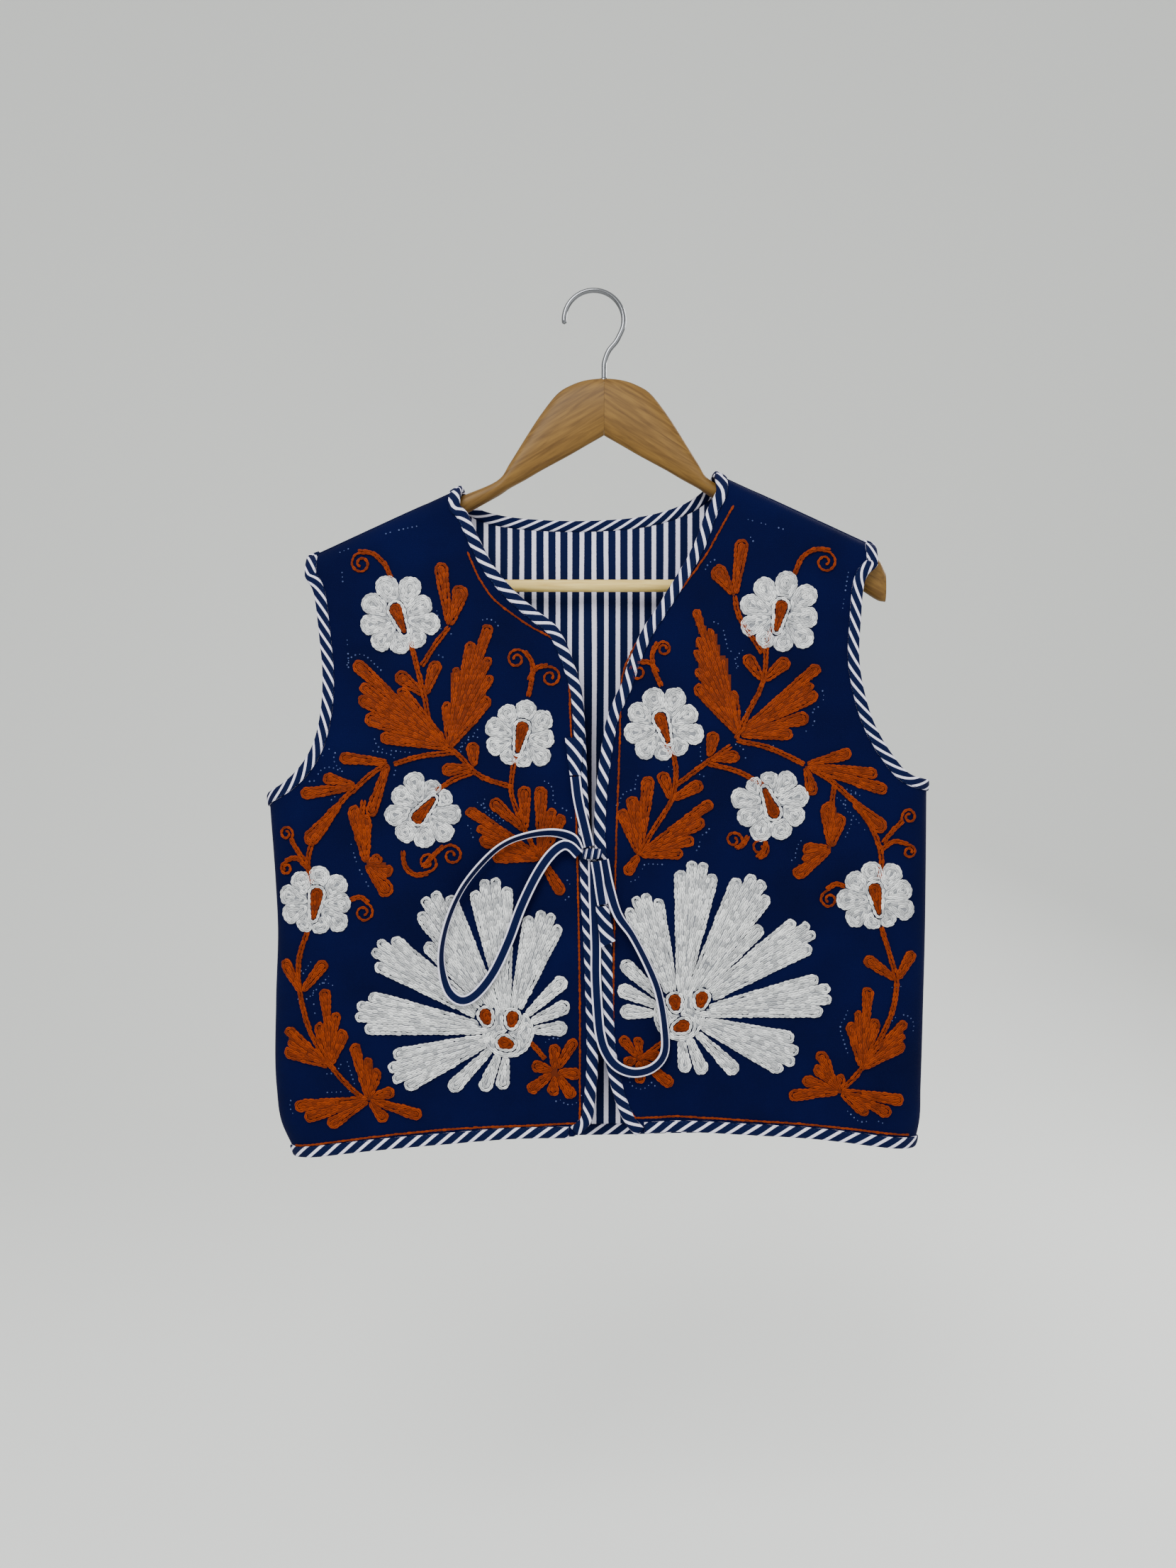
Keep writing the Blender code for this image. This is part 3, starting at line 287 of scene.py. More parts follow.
class Look:
    """A procedural material. What is the same all over it is set on the shader itself."""

    def __init__(self, name, settings):
        self.material = bpy.data.materials.new(name)
        self.material.use_nodes = True
        self.tree = self.material.node_tree
        self.shader = self.tree.nodes["Principled BSDF"]
        self.set(self.shader, settings)

    def set(self, node, inputs):
        for key, value in inputs.items():
            node.inputs[key].default_value = value

    def node(self, kind, inputs=None, source=None, output=0, **settings):
        """A new node, with its first socket linked to a source."""
        new = self.tree.nodes.new("ShaderNode" + kind)
        for key, value in settings.items():
            setattr(new, key, value)
        self.set(new, inputs or {})
        if source:
            self.link(source, new, 0, output)
        return new

    def link(self, source, target, into, output=0):
        self.tree.links.new(source.outputs[output], target.inputs[into])

    def maths(self, operation, first, second=None, outputs=(0, 0)):
        """A math node on one node's output, and on a number or another node's output."""
        new = self.node("Math", source=first, output=outputs[0], operation=operation)
        if isinstance(second, float):
            new.inputs[1].default_value = second
        elif second:
            self.link(second, new, 1, outputs[1])
        return new

    def ramp(self, source, stops, output=0):
        """Colours over a node's output, from stops of a position and a colour."""
        new = self.node("ValToRGB", source=source, output=output)
        elements = new.color_ramp.elements
        elements[0].position, elements[0].color = stops[0]
        elements[1].position, elements[1].color = stops[-1]
        for position, colour in stops[1:-1]:
            elements.new(position).color = colour
        return new

    def colour(self, source):
        self.link(source, self.shader, "Base Color")

    def bump(self, height, strength, distance, output=0):
        bump = self.node("Bump", {"Strength": strength, "Distance": distance})
        self.link(height, bump, "Height", output)
        self.link(bump, self.shader, "Normal")

    def wave(self, uv, direction, inputs):
        return self.node("TexWave", inputs, uv, wave_type="BANDS", bands_direction=direction,
                         wave_profile="SIN")

    def weave(self, pitch, strength):
        """Plain weave: fine crossing waves in the cloth's own directions, with slubs."""
        uv = self.node("UVMap", uv_map="UVMap")
        threads = {"Scale": TURNS*MAP/pitch, "Distortion": 0.6, "Detail": 1.0}
        both = self.maths("ADD", *(self.wave(uv, way, threads) for way in "XY"), outputs=(FAC, FAC))
        slub = self.node("TexNoise", {"Scale": 46.0, "Detail": 5.0}, uv)
        self.bump(self.maths("ADD", both, self.maths("MULTIPLY", slub, 1.4)), strength, 0.00012)
        return uv, slub


def navy():
    look = Look("navy_cloth", NAVY_COTTON)
    uv, _ = look.weave(0.9, 0.35)
    tone = look.node("TexNoise", {"Scale": 1.6, "Detail": 4.0}, uv)
    look.colour(look.ramp(tone, [(0.3, (0.0002, 0.0011, 0.0200, 1)), (0.72, (0.0003, 0.0018, 0.0310, 1))]))
    return look.material


def striped(name, pitch, white_share, slant):
    """Woven stripes across the first direction of the cloth's map, leaning with the second one."""
    look = Look(name, COTTON)
    uv, slub = look.weave(0.7, 0.3)
    split = look.node("SeparateXYZ", source=uv)
    placed = look.maths("ADD", split, look.maths("MULTIPLY", split, slant, (1, 0)))
    wobble = look.node("TexNoise", {"Scale": 90.0}, uv)
    placed = look.maths("ADD", placed, look.maths("MULTIPLY", wobble, 0.0042))
    turns = look.maths("FRACT", look.maths("DIVIDE", placed, pitch/MAP))
    soft = 0.035
    stripes = look.ramp(turns, [(0.0, STRIPE_BLUE), (soft, STRIPE_WHITE), (white_share, STRIPE_WHITE),
                                (white_share + soft, STRIPE_BLUE)])
    shade = look.node("MapRange", {"To Min": 0.82, "To Max": 1.08}, slub)
    mixed = look.node("VectorMath", source=stripes, operation="SCALE")
    look.link(shade, mixed, "Scale")
    look.colour(mixed)
    return look.material


def ribbon():
    """Folded ribbon: blue, with a fine white line along each edge."""
    look = Look("ribbon_cotton", COTTON)
    uv, _ = look.weave(0.7, 0.3)
    edge, fold = 0.13, 0.17
    stops = [(0.0, STRIPE_WHITE), (edge, STRIPE_WHITE), (fold, STRIPE_BLUE), (1 - fold, STRIPE_BLUE),
             (1 - edge, STRIPE_WHITE), (1.0, STRIPE_WHITE)]
    look.colour(look.ramp(look.node("SeparateXYZ", source=uv), stops, 1))
    return look.material


def thread(name, dark, bright, rough, gloss):
    """Twisted thread: a fine ply across each link, and a tone of its own for each link; the dark end of its
    colours also carries the painted shade of grooves, rims and filling.
    """
    look = Look(name, {"Roughness": rough, "Specular IOR Level": gloss})
    uv = look.node("UVMap", uv_map="UVMap")
    ply = look.wave(uv, "DIAGONAL", {"Scale": 2.4, "Distortion": 2.2, "Detail Scale": 2.0})
    look.bump(ply, 0.45, 0.00015, FAC)
    tone = look.node("Attribute", attribute_name="tone")
    look.colour(look.ramp(tone, [(0.0, dark), (1.0, bright)], 2))
    return look.material


def wood(name, dark, bright, turn=0.0):
    """Fine grain along the length of a piece that slopes down by the turn."""
    look = Look(name, WOOD_FINISH)
    stretch = look.node("Mapping", {"Rotation": (0, turn, 0), "Scale": (0.12, 0.010, 0.010)},
                        look.node("TexCoord"), OBJECT, vector_type="TEXTURE")
    grain = look.node("TexNoise", {"Scale": 4.0, "Detail": 8.0, "Distortion": 0.6}, stretch)
    look.colour(look.ramp(grain, [(0.32, dark), (0.68, bright)]))
    look.bump(grain, 0.15, 0.0002)
    return look.material


def chrome():
    # Painted reflection: the base colour is kept dark, standing in for the dark surroundings that the chrome
    # reflects
    look = Look("chrome_wire", {"Base Color": (0.17, 0.175, 0.185, 1), "Metallic": 1.0})
    smear = look.node("TexNoise", {"Scale": 180.0}, look.node("TexCoord"), OBJECT)
    look.link(look.node("MapRange", {"To Min": 0.08, "To Max": 0.2}, smear), look.shader, "Roughness")
    return look.material


NAVY = navy()
LINING_LOOK = striped("lining_stripes", 9.6, 0.37, 0.0)
LEAN, STEEP_LEAN = 1.4, 1.9
BIAS = {lean: striped(f"bias_stripes_{i}", 12.6, 0.30, lean)
        for i, lean in enumerate((LEAN, -LEAN, STEEP_LEAN, -STEEP_LEAN))}
RIBBON = ribbon()
WHITE = thread("white_thread", (0.045, 0.055, 0.08, 1), (0.97, 0.98, 0.97, 1), 0.36, 0.5)
RUST = thread("rust_thread", (0.050, 0.006, 0.0003, 1), (0.28, 0.037, 0.0008, 1), 0.65, 0.12)
BLUE_THREAD = thread("seam_thread", (0.003, 0.010, 0.05, 1), (0.008, 0.026, 0.11, 1), 0.6, 0.2)
CHALK = thread("pale_marks", (0.030, 0.045, 0.12, 1), (0.075, 0.10, 0.21, 1), 0.9, 0.1)
GRAIN_TURN = 0.55
WOOD = {which: wood(f"hanger_wood_{which}", (0.090, 0.043, 0.008, 1), (0.175, 0.092, 0.018, 1), turn)
        for which, turn in (("left", -GRAIN_TURN), ("right", GRAIN_TURN))}
BAR_WOOD = wood("bar_wood", (0.54, 0.37, 0.10, 1), (0.76, 0.58, 0.20, 1))
CHROME = chrome()


def mesh_of(name, points, faces, looks, uv=None, tone=None, face_looks=None, smooth=True, nodes=()):
    """A piece of the object from points in millimetres, with a map and a tone for each point."""
    points = np.asarray(points, float).reshape(-1, 3)*METRES
    faces = np.asarray(faces, np.int64)
    count, size = faces.shape
    mesh = bpy.data.meshes.new(name)
    mesh.vertices.add(len(points))
    mesh.vertices.foreach_set("co", points.astype(np.float32).ravel())
    mesh.loops.add(faces.size)
    mesh.loops.foreach_set("vertex_index", faces.astype(np.int32).ravel())
    mesh.polygons.add(count)
    mesh.polygons.foreach_set("loop_start", np.arange(0, faces.size, size, dtype=np.int32))
    mesh.polygons.foreach_set("loop_total", np.full(count, size, np.int32))
    if face_looks is not None:
        mesh.polygons.foreach_set("material_index", np.asarray(face_looks, np.int32))
    mesh.update(calc_edges=True)
    mesh.validate()
    for look in looks:
        mesh.materials.append(look)
    layer = mesh.uv_layers.new(name="UVMap")
    if uv is not None:
        uv = np.asarray(uv, float).reshape(-1, 2)
        layer.data.foreach_set("uv", uv[faces.ravel()].astype(np.float32).ravel())
    if tone is not None:
        attribute = mesh.attributes.new("tone", "FLOAT", "POINT")
        attribute.data.foreach_set("value", np.asarray(tone, np.float32).ravel())
    mesh.polygons.foreach_set("use_smooth", np.full(count, smooth))
    piece = bpy.data.objects.new(name, mesh)
    bpy.context.scene.collection.objects.link(piece)
    if nodes:
        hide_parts(*nodes)
    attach(piece, "root")


# Panels: the cloth of each is a grid of places (u, w) between its edges
COLUMNS, SIDE_ROWS, ARMHOLE_ROWS, ROUND_ROWS = 84, 66, 60, 8
SHOULDER_COLUMNS, NECK_COLUMNS = 24, 70
SIDE_SEAM_X = 270


def side_edge(which, arc, low):
    sign = -1 if which == "left" else 1
    z = np.linspace(low, UNDERARM_Z[which], SIDE_ROWS + 1)
    return np.stack([sign*(flat_half(np.full_like(z, sign), z) + arc), z], axis=-1)


def round_start(x):
    return np.array([x, shoulder_line(x) - HALF_DEPTH])


def over_shoulder(start, top):
    return start + (top - start)*np.linspace(0, 1, ROUND_ROWS + 1)[1:, None]


def armhole_edge(which, out, seam, top):
    sign, column = (-1, 0) if which == "left" else (1, 2)
    points = [seam]
    for row in ARMHOLE:
        x, z = row[column] + sign*out, row[column + 1]
        if z < shoulder_line(x) - HALF_DEPTH:
            points.append(np.array([float(along_cloth(x, z)), z]))
    start = round_start(top[0])
    points.append(start)
    return np.vstack([curve(points, ARMHOLE_ROWS + 1), over_shoulder(start, top)])


def patch(bottom, top, inner, outer):
    """Places between four edges: bottom and top run from the inner to the outer edge."""
    s = (lengths(bottom)/lengths(bottom)[-1])[None, :, None]
    t = (lengths(inner)/lengths(inner)[-1])[:, None, None]
    corners = (1 - s)*(1 - t)*bottom[0] + s*(1 - t)*bottom[-1] + (1 - s)*t*top[0] + s*t*top[-1]
    return ((1 - s)*inner[:, None] + s*outer[:, None] + (1 - t)*bottom[None] + t*top[None] - corners)


EVENING_ROUNDS = 300


def evened(grid):
    """The grid with its inner points evened over a fixed number of rounds, so that no cell folds over another,
    as beside the neck's corners.
    """
    grid = grid.copy()
    for _ in range(EVENING_ROUNDS):
        along, up = (grid[1:-1, 2:] - grid[1:-1, :-2])/2, (grid[2:, 1:-1] - grid[:-2, 1:-1])/2
        a, b, c = (np.sum(p*q, axis=-1, keepdims=True) for p, q in ((up, up), (along, up), (along, along)))
        twist = (grid[2:, 2:] - grid[2:, :-2] - grid[:-2, 2:] + grid[:-2, :-2])/4
        grid[1:-1, 1:-1] = (a*(grid[1:-1, 2:] + grid[1:-1, :-2]) + c*(grid[2:, 1:-1] + grid[:-2, 1:-1])
                            - 2*b*twist)/(2*(a + c))
    return grid


def seam_top(x, angle):
    return np.array([x, shoulder_line(x) + math.radians(angle)*HALF_DEPTH - HALF_DEPTH - SEAM_GAP/2])


def front_places(which):
    sign, column = (-1, 1) if which == "left" else (1, 2)
    tip, neck = TIP_X[which], NECK_POINT[which]
    side = side_edge(which, FRONT_SEAM_ARC - SEAM_GAP/2, float(table_at(HEM, 1, sign*SIDE_SEAM_X)))
    outer = np.vstack([side, armhole_edge(which, 0, side[-1], seam_top(tip, SHOULDER_SEAM_ANGLE))[1:]])
    start = round_start(neck)
    edge = [np.array([row[column], row[0]]) for row in FRONT_EDGE] + [start]
    fine = curve(edge, 900)
    split = int(np.searchsorted(fine[:, 1], UNDERARM_Z[which] + 2))
    low = at_lengths(fine[:split + 1], np.linspace(0, lengths(fine[:split + 1])[-1], SIDE_ROWS + 1))
    high = at_lengths(fine[split:], np.linspace(0, lengths(fine[split:])[-1], ARMHOLE_ROWS + 1))
    over = over_shoulder(start, seam_top(neck, SHOULDER_SEAM_ANGLE))
    inner = np.vstack([low, high[1:], over])
    shares = np.linspace(0, 1, COLUMNS + 1)
    u = inner[0, 0] + (outer[0, 0] - inner[0, 0])*shares
    bottom = np.stack([u, table_at(HEM, 1, u)], axis=-1)
    bottom[0], bottom[-1] = inner[0], outer[0]
    top = np.array([seam_top(x, SHOULDER_SEAM_ANGLE) for x in neck + (tip - neck)*shares])
    return patch(bottom, top, inner, outer)


def back_places():
    outers = {}
    angle = 180 - SHOULDER_SEAM_ANGLE
    for which, sign in (("left", -1), ("right", 1)):
        side = side_edge(which, BACK_SEAM_ARC - SEAM_GAP/2, float(table_at(HEM, 2, sign*SIDE_SEAM_X)))
        hole = armhole_edge(which, BACK_ARMHOLE_OUT[which], side[-1], seam_top(TIP_X[which], angle))
        outers[which] = np.vstack([side, hole[1:]])
    spans = ((TIP_X["left"], NECK_POINT["left"]), (NECK_POINT["right"], TIP_X["right"]))
    left, right = (np.array([seam_top(x, angle) for x in np.linspace(*span, SHOULDER_COLUMNS + 1)])
                   for span in spans)
    neck = curve([left[-1]] + [np.array(p, float) for p in BACK_NECK] + [right[0]], NECK_COLUMNS + 1)
    top = np.vstack([left, neck[1:-1], right])
    start, end = outers["left"][0], outers["right"][0]
    u = np.linspace(start[0], end[0], len(top))
    bottom = np.stack([u, table_at(HEM, 2, u)], axis=-1)
    bottom[0], bottom[-1] = start, end
    return evened(patch(bottom, top, outers["left"], outers["right"])), neck


def wall(name, side, places, outer, inner, looks, nodes):
    """A cloth wall with its face and its inner side, each with its own look."""
    rows, columns = places.shape[:2]
    points = [cloth(side, places, np.full((rows, columns), depth)) for depth in (outer, inner)]
    quads, under = grid_faces(rows, columns), rows*columns
    back = quads[:, ::-1] + under
    low, right = np.arange(columns), np.arange(2, rows + 1)*columns - 1
    high, left = (rows - 1)*columns + np.arange(columns - 2, -1, -1), np.arange(rows - 2, 0, -1)*columns
    rim = np.concatenate([low, right, high, left])
    following = np.roll(rim, -1)
    edges = np.stack([following, rim, rim + under, following + under], axis=-1)
    faces = np.vstack([quads, back, edges])
    which_look = np.concatenate([np.zeros(len(quads)), np.full(len(back) + len(edges), len(looks) - 1)])
    mesh_of(name, points, faces if side < 0 else faces[:, ::-1], looks,
            np.tile(places.reshape(-1, 2), (2, 1))/MAP, face_looks=which_look, nodes=nodes)


fronts = {which: front_places(which) for which in ("left", "right")}
back, neck_line = back_places()
for which, places in fronts.items():
    wall(f"cloth_front_{which}", -1, places, 0.3, CLOTH - 0.5, [NAVY, LINING_LOOK], [f"front_{which}"])
wall("cloth_back", 1, back, 0.0, BACK_SHELL, [NAVY], ["back"])
wall("cloth_lining", 1, back, BACK_SHELL + LINING_GAP, BACK_SHELL + LINING_GAP + LINING, [LINING_LOOK],
     ["back_lining"])

# Bindings
BINDING_WIDTH, BINDING_OVER = 7.9, 0.35
STATION, SEAM_STITCH = 2.2, 3.0
FOLD_LINE = 16         # over this length the strips of an armhole turn from straight down to square


def binding(name, side, edge, inward, lean, nodes, ends=(0, 0)):
    """A folded strip round an edge of (u, w) places. It swells softly between its stitches."""
    along = lengths(edge)
    where = np.linspace(ends[0], along[-1] - ends[1], max(8, int(along[-1]/STATION)))
    edge, inward = at_lengths(edge, where), unit(interpolated(inward, along, where))
    width = BINDING_WIDTH
    thick = CLOTH if side < 0 else BACK_SHELL + LINING_GAP + LINING
    top, under = -BINDING_OVER, thick + BINDING_OVER
    section = np.array([
        # in from the edge, depth
        (width, top + 0.1), (width - 0.5, top - 0.75), (width - 2.2, top - 1.05), (3.0, top - 1.25),
        (0.6, top - 1.2), (-0.7, top - 0.6), (-1.2, thick/2), (-0.7, under + 0.6), (0.6, under + 1.1),
        (3.0, under + 1.1), (width - 1.5, under + 0.9), (width, under - 0.1),
    ])
    swell = 1 + 0.10*np.sin(where/5.3)*np.sin(where/23.0 + 1)
    depth = thick/2 + (section[:, 1] - thick/2)*swell[:, None]
    points = cloth(side, edge[:, None] + inward[:, None]*section[:, :1], depth)
    closed = [points[[i]].mean(axis=1, keepdims=True) + 0*points[[i]] for i in (0, -1)]
    points = np.concatenate([closed[0], points, closed[1]])
    mapped = np.concatenate([where[:1], where, where[-1:]])
    uv = np.stack(np.broadcast_arrays(mapped[:, None], lengths(section)), axis=-1)/MAP
    mesh_of(name, points, tube_faces(len(mapped), len(section)), [BIAS[lean]], uv, nodes=nodes)
    stitches = np.arange(2, lengths(edge)[-1] - 2, SEAM_STITCH)
    dashes(name.replace("binding", "seam"), side, at_lengths(edge, stitches),
           interpolated(inward, lengths(edge), stitches), width - 0.8, top - 0.72)


def dashes(name, side, edge, inward, out, depth):
    """Small stitches in a row beside the edge of a binding."""
    way, inward = unit(np.gradient(edge, axis=0)), unit(inward)
    corners = [(-1.0, 0, 0), (0, 0.28, 0), (1.0, 0, 0), (0, -0.28, 0), (0, 0, 0.3)]
    points = [cloth(side, edge + inward*(out + across) + way*ahead, np.full(len(edge), depth - lift + 0.05))
              for ahead, across, lift in corners]
    base = (np.arange(len(edge))*len(corners))[:, None, None]
    faces = base + np.array([(0, 1, 4), (1, 2, 4), (2, 3, 4), (3, 0, 4)])[None]
    count = len(edge)*len(corners)
    mesh_of(name, np.stack(points, axis=1), faces.reshape(-1, 3), [BLUE_THREAD], np.zeros((count, 2)),
            np.full(count, 0.5))


def square_to(edge, towards):
    """Directions at right angles to an edge, on the side of the garment."""
    normal = unit(-left_of(np.gradient(edge, axis=0)))
    return normal*np.sign(np.sum(normal*(towards - edge), axis=1))[:, None]


for which, places in fronts.items():
    turn, column, near = (1, 0, 10) if which == "left" else (-1, -1, -11)
    inner, low = places[:, 0], places[0, 2:]
    binding(f"binding_front_{which}_strip", -1, inner, square_to(inner, places[:, 12]), turn*LEAN,
            [f"binding_front_{which}"])
    binding(f"binding_hem_{which}_strip", -1, low, square_to(low, places[8, 2:]), -turn*LEAN,
            [f"binding_hem_{which}"], ends=(0.8, 0.3))
    holes = (("front", -1, places[SIDE_ROWS:, -1], places[SIDE_ROWS:, -8], [f"binding_armhole_{which}"]),
             ("back", 1, back[SIDE_ROWS:, column], back[SIDE_ROWS:, near], []))
    blend = np.clip(lengths(holes[0][2])/FOLD_LINE, 0, 1)[:, None]
    for part, side, hole, inside, nodes in holes:
        inward = (1 - blend)*np.array([0, -1]) + blend*square_to(hole, inside)
        binding(f"binding_armhole_{which}_{part}_strip", side, hole, inward, side*turn*STEEP_LEAN, nodes)
binding("binding_hem_back_strip", 1, back[0], square_to(back[0], back[8]), -LEAN, ["binding_hem_back"],
        ends=(0.3, 0.3))
binding("binding_neck_back_strip", 1, neck_line, -left_of(np.gradient(neck_line, axis=0)), STEEP_LEAN,
        ["binding_neck_back"])

# Chain stitch: the form of one link, how much the links differ, and the painted shade in its groove and along
# its rims
LINK, LINK_WIDTH, LINK_HEIGHT, LINK_OVERLAP = 4.1, 2.7, 1.35, 1.22
ALONG = np.array([0.0, 0.22, 0.58, 0.88, 1.0])
WIDTHS = np.array([0.34, 0.74, 1.0, 0.86, 0.36])
HEIGHTS = np.array([0.55, 0.9, 1.0, 0.95, 0.5])
GROOVE = np.array([0.9, 0.5, 0.25, 0.55, 1.0])
ACROSS = np.array([-1, -0.78, -0.42, 0, 0.42, 0.78, 1])
PROFILE = np.array([0, 0.75, 1.0, 1.0, 1.0, 0.75, 0])
LINK_FACES = grid_faces(len(ALONG), len(ACROSS))
WIDTH_SPREAD, SHIFT_SPREAD, HEIGHT_SPREAD, DARKEST = 0.10, 0.12, 0.12, 0.4
# Painted shade: how dark the groove down the middle of each link and its rims at the cloth are painted
GROOVE_SHADE, RIM_SHADE = 0.3, 0.22
# The filling's tone is painted shade: a dark sheet under the rows, standing for the shade between them
FILL_MARGIN, FILL_SHADE, FILL_MAP = 0.9, 0.15, 4.0
random = np.random.default_rng(7)


def chain_points(line, closed, pitch, width, height):
    """Points, map and tones of the links along one line of x and z places: each link's tone differs at random,
    and painted shade darkens its middle groove and its rims.
    """
    line = np.asarray(line, float)
    if closed:
        line = np.vstack([line, line[:1]])
    total = lengths(line)[-1]
    count = max(1, int(round(total/pitch)))
    step = total/count
    starts = np.arange(count)*step
    where = starts[:, None] + ALONG[None]*step*LINK_OVERLAP
    extended = np.vstack([line, line[1:3]]) if closed else np.vstack([line, line[-1] + (line[-1] - line[-2])])
    at = at_lengths(extended, where.ravel()).reshape(count, len(ALONG), 2)
    ahead = at_lengths(extended, (where + 0.4).ravel()).reshape(at.shape)
    behind = at_lengths(extended, (where - 0.4).ravel()).reshape(at.shape)
    normal = left_of(unit(ahead - behind))
    spread = 1 + WIDTH_SPREAD*random.standard_normal((count, 1, 1))
    shift = SHIFT_SPREAD*random.standard_normal((count, 1, 1))
    across = (ACROSS[None, None]*WIDTHS[None, :, None]*spread + shift)*width/2
    flat = at[:, :, None] + normal[:, :, None]*across[..., None]
    profile = np.broadcast_to(PROFILE, (len(ALONG), len(ACROSS))).copy()
    profile[:, 3] = GROOVE
    lift = profile*HEIGHTS[:, None]*height
    lift = lift[None]*(1 + HEIGHT_SPREAD*random.standard_normal((count, 1, 1)))
    turned = ALONG[None, :, None] + starts[:, None, None]*0.37
    uv = np.stack(np.broadcast_arrays(turned, ACROSS[None, None]/2), axis=-1)
    tone = np.broadcast_to(DARKEST + (1 - DARKEST)*random.random((count, 1, 1)), lift.shape).copy()
    # Painted shade in the groove down each link's middle and along its rims, where the thread meets the cloth
    tone[:, 1:4, 3] *= GROOVE_SHADE
    tone[:, :, [0, -1]] *= RIM_SHADE
    return flat, lift, uv, tone


def filled(field, xs, zs, stride, lift):
    """A low filling under the rows, coloured dark as painted shade between them: the parts of a grid that lie
    well inside a motif.
    """
    field, xs, zs = field[::stride, ::stride], xs[::stride], zs[::stride]
    x, z = np.meshgrid(xs, zs)
    inside = field < -FILL_MARGIN
    whole = inside[:-1, :-1] & inside[:-1, 1:] & inside[1:, 1:] & inside[1:, :-1]
    used, faces = np.unique(grid_faces(*x.shape)[whole.ravel()], return_inverse=True)
    flat = np.stack([x.ravel()[used], z.ravel()[used]], axis=-1)
    return flat, np.full(len(used), lift), flat/FILL_MAP, np.full(len(used), FILL_SHADE), faces.reshape(-1, 4)


def embroider(name, lines, look, nodes=(), pitch=LINK, width=LINK_WIDTH, height=LINK_HEIGHT,
              fills=()):
    """Rows of chain stitch on the front, with their filling, which is coloured dark as painted shade: lines are
    (points, closed).
    """
    parts = [chain_points(line, closed, pitch, width, height) for line, closed in lines]
    flat, lift, uv, tone = (np.concatenate(group) for group in zip(*parts))
    size = len(ALONG)*len(ACROSS)
    faces = ((np.arange(len(flat))*size)[:, None, None] + LINK_FACES[None]).reshape(-1, 4)
    flat, lift, uv, tone = flat.reshape(-1, 2), lift.ravel(), uv.reshape(-1, 2), tone.ravel()
    for more_flat, more_lift, more_uv, more_tone, more_faces in fills:
        faces = np.vstack([faces, more_faces + len(flat)])
        flat, lift = np.vstack([flat, more_flat]), np.concatenate([lift, more_lift])
        uv, tone = np.vstack([uv, more_uv]), np.concatenate([tone, more_tone])
    mesh_of(name, on_front(flat, lift + 0.05), faces, [look], uv, tone, nodes=nodes)


# Top, bottom, left or right: where a line enters and leaves a grid cell, by which of its corners are inside
EDGES = {1: [("B", "L")], 2: [("R", "B")], 3: [("R", "L")], 4: [("T", "R")], 5: [("B", "L"), ("T", "R")],
         6: [("T", "B")], 7: [("T", "L")], 8: [("L", "T")], 9: [("B", "T")], 10: [("R", "B"), ("L", "T")],
         11: [("R", "T")], 12: [("L", "R")], 13: [("B", "R")], 14: [("L", "B")]}


def contours(values, level, xs, zs):
    """Closed lines where a field over a grid crosses a level, with the lower side on the left."""
    inside = values < level
    code = inside[:-1, :-1]*1 + inside[:-1, 1:]*2 + inside[1:, 1:]*4 + inside[1:, :-1]*8
    after, place = {}, {}

    def crossing(key):
        if key not in place:
            kind, j, i = key
            j2, i2 = (j, i + 1) if kind == "h" else (j + 1, i)
            a, b = values[j, i] - level, values[j2, i2] - level
            t = a/(a - b)
            place[key] = (xs[i] + (xs[i2] - xs[i])*t, zs[j] + (zs[j2] - zs[j])*t)
        return key

    for j, i in zip(*np.nonzero((code > 0) & (code < 15))):
        keys = {"B": ("h", j, i), "T": ("h", j + 1, i), "L": ("v", j, i), "R": ("v", j, i + 1)}
        for start, end in EDGES[int(code[j, i])]:
            after[crossing(keys[start])] = crossing(keys[end])
    loops = []
    while after:
        first = next(iter(after))
        loop, key = [], first
        while key in after:
            loop.append(place[key])
            key = after.pop(key)
        loop = np.array(loop)
        if len(loop) > 6 and lengths(loop)[-1] > 5:
            loops.append(smoothed(loop))
    return loops


def smoothed(loop):
    """A closed line with its small steps evened out."""
    for _ in range(3):
        loop = 0.5*loop + 0.25*(np.roll(loop, 1, axis=0) + np.roll(loop, -1, axis=0))
    return loop


def capsule(x, z, x0, z0, bearing, near, far, start_radius, end_radius):
    """Signed distance to a finger on a bearing from a middle, with a radius at each of its ends."""
    length, dx, dz = far - near, math.cos(bearing), math.sin(bearing)
    px, pz = np.abs((x - x0)*dz - (z - z0)*dx), (x - x0)*dx + (z - z0)*dz - near
    b = (start_radius - end_radius)/length
    a = math.sqrt(max(1 - b*b, 1e-6))
    k = -b*px + a*pz
    found = a*px + b*pz - start_radius
    found = np.where(k < 0, np.hypot(px, pz) - start_radius, found)
    return np.where(k > a*length, np.hypot(px, pz - length) - end_radius, found)


def grid_round(low, high, step=0.7):
    xs, zs = np.arange(low[0], high[0], step), np.arange(low[1], high[1], step)
    x, z = np.meshgrid(xs, zs)
    return xs, zs, x, z


def rows_of(field, xs, zs, levels):
    return [(loop, True) for level in levels for loop in contours(field, level, xs, zs)]


ROW = 2.4
LEVELS = [-(0.5 + i)*ROW for i in range(7)]
WIDEST_SHARE = 120     # degrees to a neighbour that isn't there
EYE_ROOM = 9


